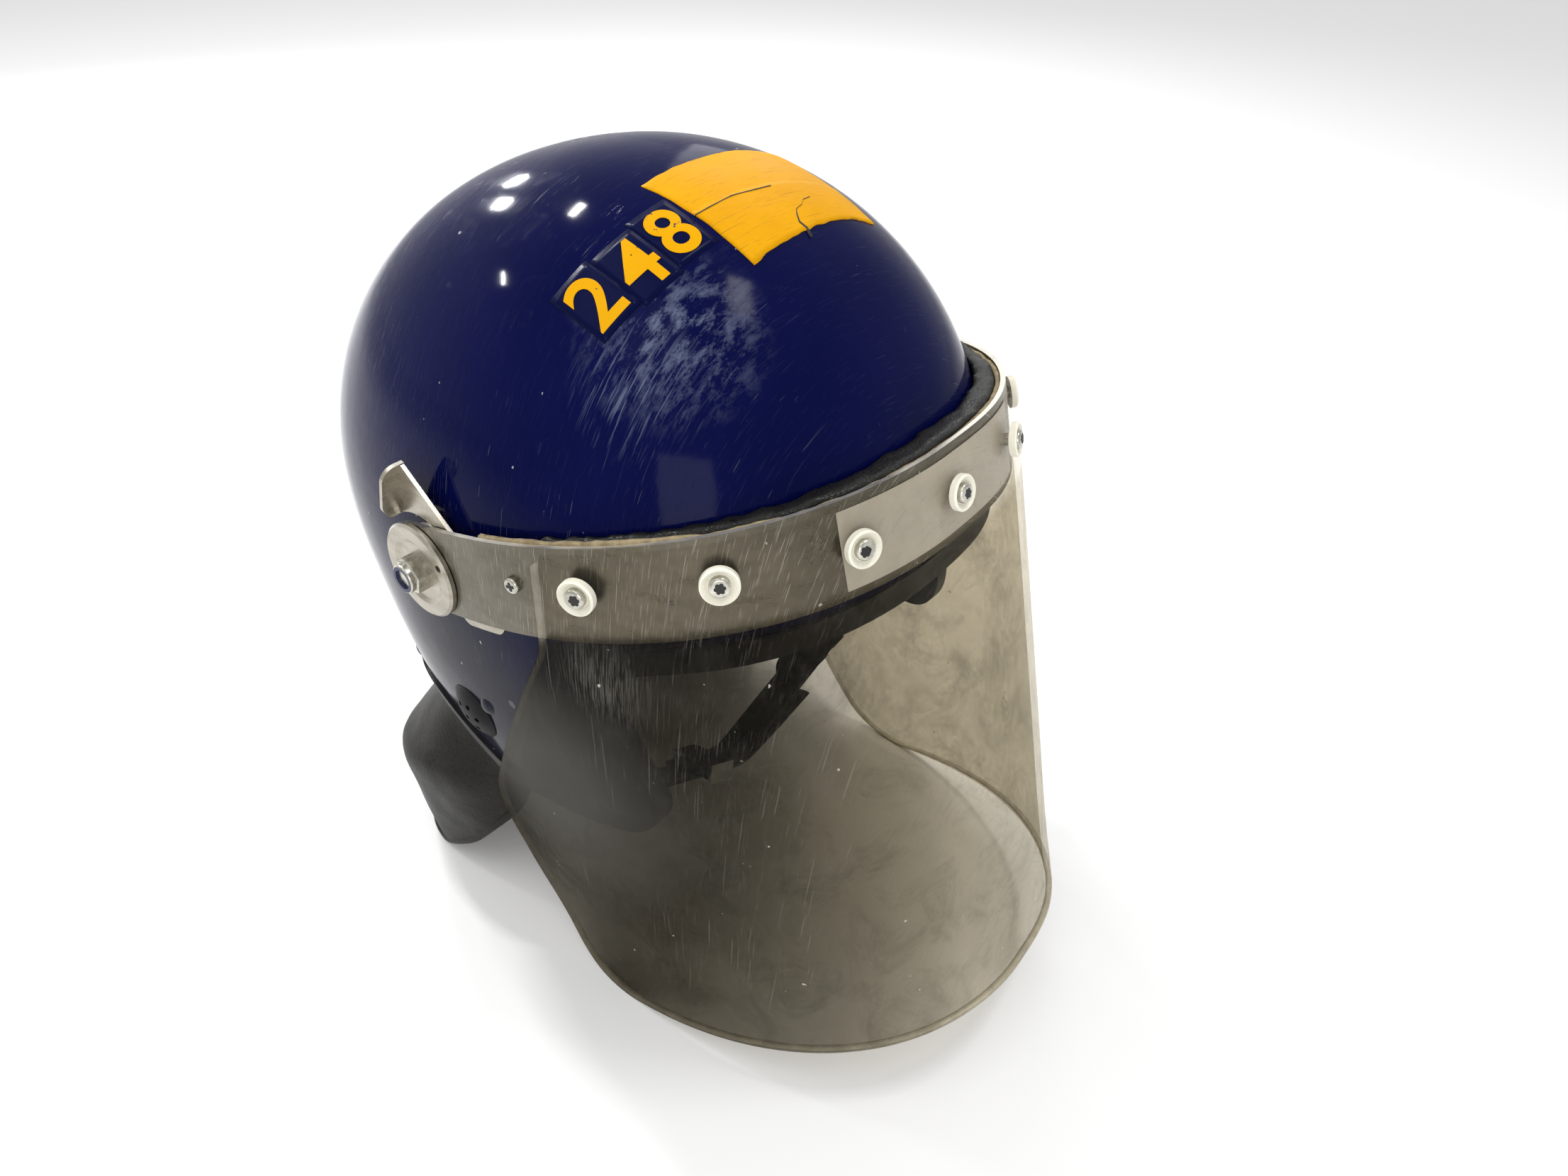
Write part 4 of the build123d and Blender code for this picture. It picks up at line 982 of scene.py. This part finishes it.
cut = {-1: [], 1: []}
for sx in (-1, 1):
    for i, p in enumerate(side_edge):
        inwards = sheet_inwards(i)
        q = p + inwards * EDGE_INSET
        found = wall_of(sheet_tree, place((0, q.y, q.z)), Vector((sx, 0, 0)))
        if found:
            cut[sx].append((found[0], found[1].normalized(), turn(-inwards)))
ends = [level(cut[sx][-1][0]) for sx in (-1, 1)]
start, end = (math.atan2(p.x, -(p.y - BAND_MIDDLE_Y)) for p in ends)
front_cut = []
for i in range(1, FRONT_STEPS):
    angle = start + (end - start) * i / FRONT_STEPS
    out = turn((math.sin(angle), -math.cos(angle), 0))
    found = wall_of(sheet_tree, place((0, BAND_MIDDLE_Y, FRONT_Z)), out)
    if found:
        front_cut.append((found[0], out, turn((0, 0, -1))))
rim_line = cut[-1] + front_cut + cut[1][::-1]
rim_section = ((-1.4, -0.35), (1.4, -0.35), (1.46, 0.06), (0, 0.12), (-1.46, 0.06))
verts = [middle + out * a * MM + away * b * MM for middle, out, away in rim_line for a, b in rim_section]
faces = []
for i in range(len(rim_line) - 1):
    first = i * 5
    for k in range(5):
        n = (k + 1) % 5
        faces.append((first + k, first + n, first + 5 + n, first + 5 + k))
faces += [tuple(range(5)), tuple(len(verts) - 5 + k for k in range(5))]
for v in verts:
    v.z = max(v.z, 0.0002)
add_piece("visor_rim", verts, faces, rim_painted_highlight, "visor")

# Films on the shell
SKIRT_LIFT = -0.00005


def film(name, grid, lift, mat):
    """A thin film on the shell: a grid of points with their normals, lifted, with a skirt down to the paint."""
    rows, cols = len(grid), len(grid[0])
    verts = [onto_shell(p, n, lift) for row in grid for p, n in row]
    faces = []
    for r in range(rows - 1):
        for c in range(cols - 1):
            at = r * cols + c
            faces.append((at, at + 1, at + cols + 1, at + cols))
    border = [(0, c) for c in range(cols)] + [(r, cols - 1) for r in range(1, rows)]
    border += [(rows - 1, c) for c in range(cols - 2, -1, -1)] + [(r, 0) for r in range(rows - 2, 0, -1)]
    base = len(verts)
    for r, c in border:
        p, n = grid[r][c]
        verts.append(onto_shell(p, n, SKIRT_LIFT))
    for k, (r, c) in enumerate(border):
        j = (k + 1) % len(border)
        faces.append((r * cols + c, base + k, base + j, border[j][0] * cols + border[j][1]))
    return add_piece(name, verts, faces, mat, "helmet", closed=False)


# Yellow tape over the brow, in two strips that meet at a seam, one of them cracked
UP = turn((0, 0, 1))
OVER_CROWN = 125


def plan_grid(a, b, c, d, rows, cols, rag=0.0):
    """Points over the shell in plan: a to b down the first side, d to c down the last."""
    grid = []
    for r in range(rows):
        row = []
        for k in range(cols):
            p = Vector((*a, 0)).lerp(Vector((*b, 0)), r / (rows - 1))
            q = Vector((*d, 0)).lerp(Vector((*c, 0)), r / (rows - 1))
            at = p.lerp(q, k / (cols - 1))
            if r in (0, rows - 1) or k in (0, cols - 1):
                at += Vector((ripple(at, 5, 3), ripple(at, 5, 7), 0)) * rag
            row.append((place((at.x, at.y, OVER_CROWN)), UP))
        grid.append(row)
    return grid


rear_grid = plan_grid((-29.3, -60.6), (-26.7, -82.2), (48.5, -84.5), (46, -59), 14, 40, 0.5)
film("tape_rear", rear_grid, 0.00035, tape_yellow)
front_grid = plan_grid((-27.0, -80.4), (-24.8, -103.9), (50, -99), (48.3, -83.2), 14, 40, 0.5)
film("tape_front", front_grid, 0.0006, tape_yellow)
crack = (
    (6.4, -104.4), (7.6, -101.5), (7.0, -99), (9.6, -96), (11.5, -94.6), (16, -93.5), (19, -91.8), (24, -91)
)
crack_grid = []
for k, (x, y) in enumerate(crack):
    wide = 0.42 * (1 - k / len(crack)) + 0.1
    sides = (x - wide, y), (x + wide, y + 0.25)
    crack_grid.append([(place((*side, OVER_CROWN)), UP) for side in sides])
film("tape_crack", crack_grid, 0.0008, mats["trim_rubber"])
seam = ((-27, -82.3), (-20, -82.6), (-8, -82.5), (4, -83.2), (12, -83.4))
seam_grid = [[(place((x, y + w, OVER_CROWN)), UP) for w in (-0.16, 0.16)] for x, y in seam]
film("tape_seam", seam_grid, 0.00085, mats["trim_rubber"])

# Plain numbers in place of the wearer's own, cut from film on dark squares
digit_places = [pixel_on_shell(pixel) for pixel in DIGIT_PIXELS]
across_steps, over_steps = np.linspace(-9.2, 9.2, 9), np.linspace(-13.5, 13.5, 11)
across = (digit_places[2][0] - digit_places[0][0]).normalized()
for number, (at, normal) in zip("248", digit_places):
    over = normal.cross(across).normalized()
    side = over.cross(normal).normalized()
    grid = [[(at + side * x * MM + over * y * MM, normal) for x in across_steps] for y in over_steps]
    film(f"number_square_{number}", grid, 0.00022, digit_navy)
    data = bpy.data.curves.new(f"number_{number}", "FONT")
    data.body = number
    data.size = 0.030
    data.offset = 0.0005
    data.extrude = 0.0001
    data.align_x = "CENTER"
    data.align_y = "CENTER"
    text = bpy.data.objects.new("text", data)
    scene.collection.objects.link(text)
    graph = bpy.context.evaluated_depsgraph_get()
    mesh = bpy.data.meshes.new_from_object(text.evaluated_get(graph))
    bpy.data.objects.remove(text)
    bm = bmesh.new()
    bm.from_mesh(mesh)
    bmesh.ops.remove_doubles(bm, verts=bm.verts, dist=1e-6)
    bmesh.ops.triangulate(bm, faces=bm.faces)
    for _ in range(3):
        long_edges = [e for e in bm.edges if e.calc_length() > 0.003]
        bmesh.ops.subdivide_edges(bm, edges=long_edges, cuts=1)
        bmesh.ops.triangulate(bm, faces=bm.faces)
    xs, ys = [v.co.x for v in bm.verts], [v.co.y for v in bm.verts]
    middle = ((min(xs) + max(xs)) / 2, (min(ys) + max(ys)) / 2)
    for v in bm.verts:
        flat = at + side * (v.co.x - middle[0]) + over * (v.co.y - middle[1])
        v.co = onto_shell(flat, normal, 0.0004 + v.co.z)
    bm.to_mesh(mesh)
    bm.free()
    piece = bpy.data.objects.new(f"number_{number}", mesh)
    scene.collection.objects.link(piece)
    dress(piece, digit_yellow, "helmet", smooth=False)

# Recesses in the screw heads, as black stars of painted shade: six lobes in the visor screws, a cross in the
# lever screws
RECESS_RISE, RECESS_DEPTH = 0.00006, 0.0006
HEAD_DEPTH = 0.0003


def recess(name, middle, out, reach, lobes, depth):
    """A recess as a star with rounded lobes, its black a painted shade, just proud of a screw head."""
    side = out.cross(turn((0, 0, 1))).normalized()
    over = side.cross(out).normalized()
    ring = []
    for k in range(12 * lobes):
        angle = 2 * math.pi * k / (12 * lobes) + 0.3
        radius = reach * (1 - depth + depth * abs(math.cos(lobes * angle / 2)) ** 0.7)
        ring.append(side * math.cos(angle) * radius * MM + over * math.sin(angle) * radius * MM)
    verts = [middle + p + out * RECESS_RISE for p in ring]
    verts += [middle + p * 0.9 - out * RECESS_DEPTH for p in ring]
    size = len(ring)
    faces = [tuple(range(size)), tuple(range(2 * size - 1, size - 1, -1))]
    faces += [(k, size + k, size + (k + 1) % size, (k + 1) % size) for k in range(size)]
    # The black rubber here is painted shade
    add_piece(name, verts, faces, mats["trim_rubber"], "visor", smooth=False)


def solids_of(node_name):
    """The points of each solid in a node of screws."""
    bm = bmesh.new()
    bm.from_mesh(nodes[node_name].data)
    bmesh.ops.remove_doubles(bm, verts=bm.verts, dist=1e-6)
    seen, found = set(), []
    for start in bm.verts:
        if start in seen:
            continue
        seen.add(start)
        group, queue = [], [start]
        while queue:
            v = queue.pop()
            group.append(v.co.copy())
            others = [e.other_vert(v) for e in v.link_edges]
            queue += [o for o in others if o not in seen]
            seen.update(others)
        found.append(group)
    bm.free()
    return found


def head_of(group, out):
    """Middle of a screw's outer end, the way out given."""
    far = max(p.dot(out) for p in group)
    rim_points = [p for p in group if p.dot(out) > far - HEAD_DEPTH]
    head = sum(rim_points, Vector()) / len(rim_points)
    return head + out * (far - head.dot(out))


def out_of_band(point):
    """The way out of the band at a screw, square to its outline."""
    angle = math.atan2(point.x / BAND_HALF_X, -(point.y - BAND_MIDDLE_Y) / BAND_HALF_Y)
    power = 2 * (BAND_POWER - 1) / BAND_POWER
    x = math.copysign(abs(math.sin(angle)) ** power / BAND_HALF_X, math.sin(angle))
    return turn((x, -(abs(math.cos(angle)) ** power) / BAND_HALF_Y, 0)).normalized()


for number, group in enumerate(solids_of("visor_screws"), 1):
    out = out_of_band(level(sum(group, Vector()) / len(group)))
    recess(f"screw_recess_{number}", head_of(group, out), out, 2.1, 6, 0.3)
for side_name, sx in (("right", -1), ("left", 1)):
    group = max(solids_of(f"lever_screw_{side_name}"), key=len)
    out = Vector(joints[f"release_lever_{side_name}"]["axis"]).normalized()
    if out.x * sx < 0:
        out = -out
    recess(f"lever_recess_{side_name}", head_of(group, out), out, 1.9, 4, 0.72)

size = {"cad": cad_bounds, "visual": [list(corner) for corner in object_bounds()]}
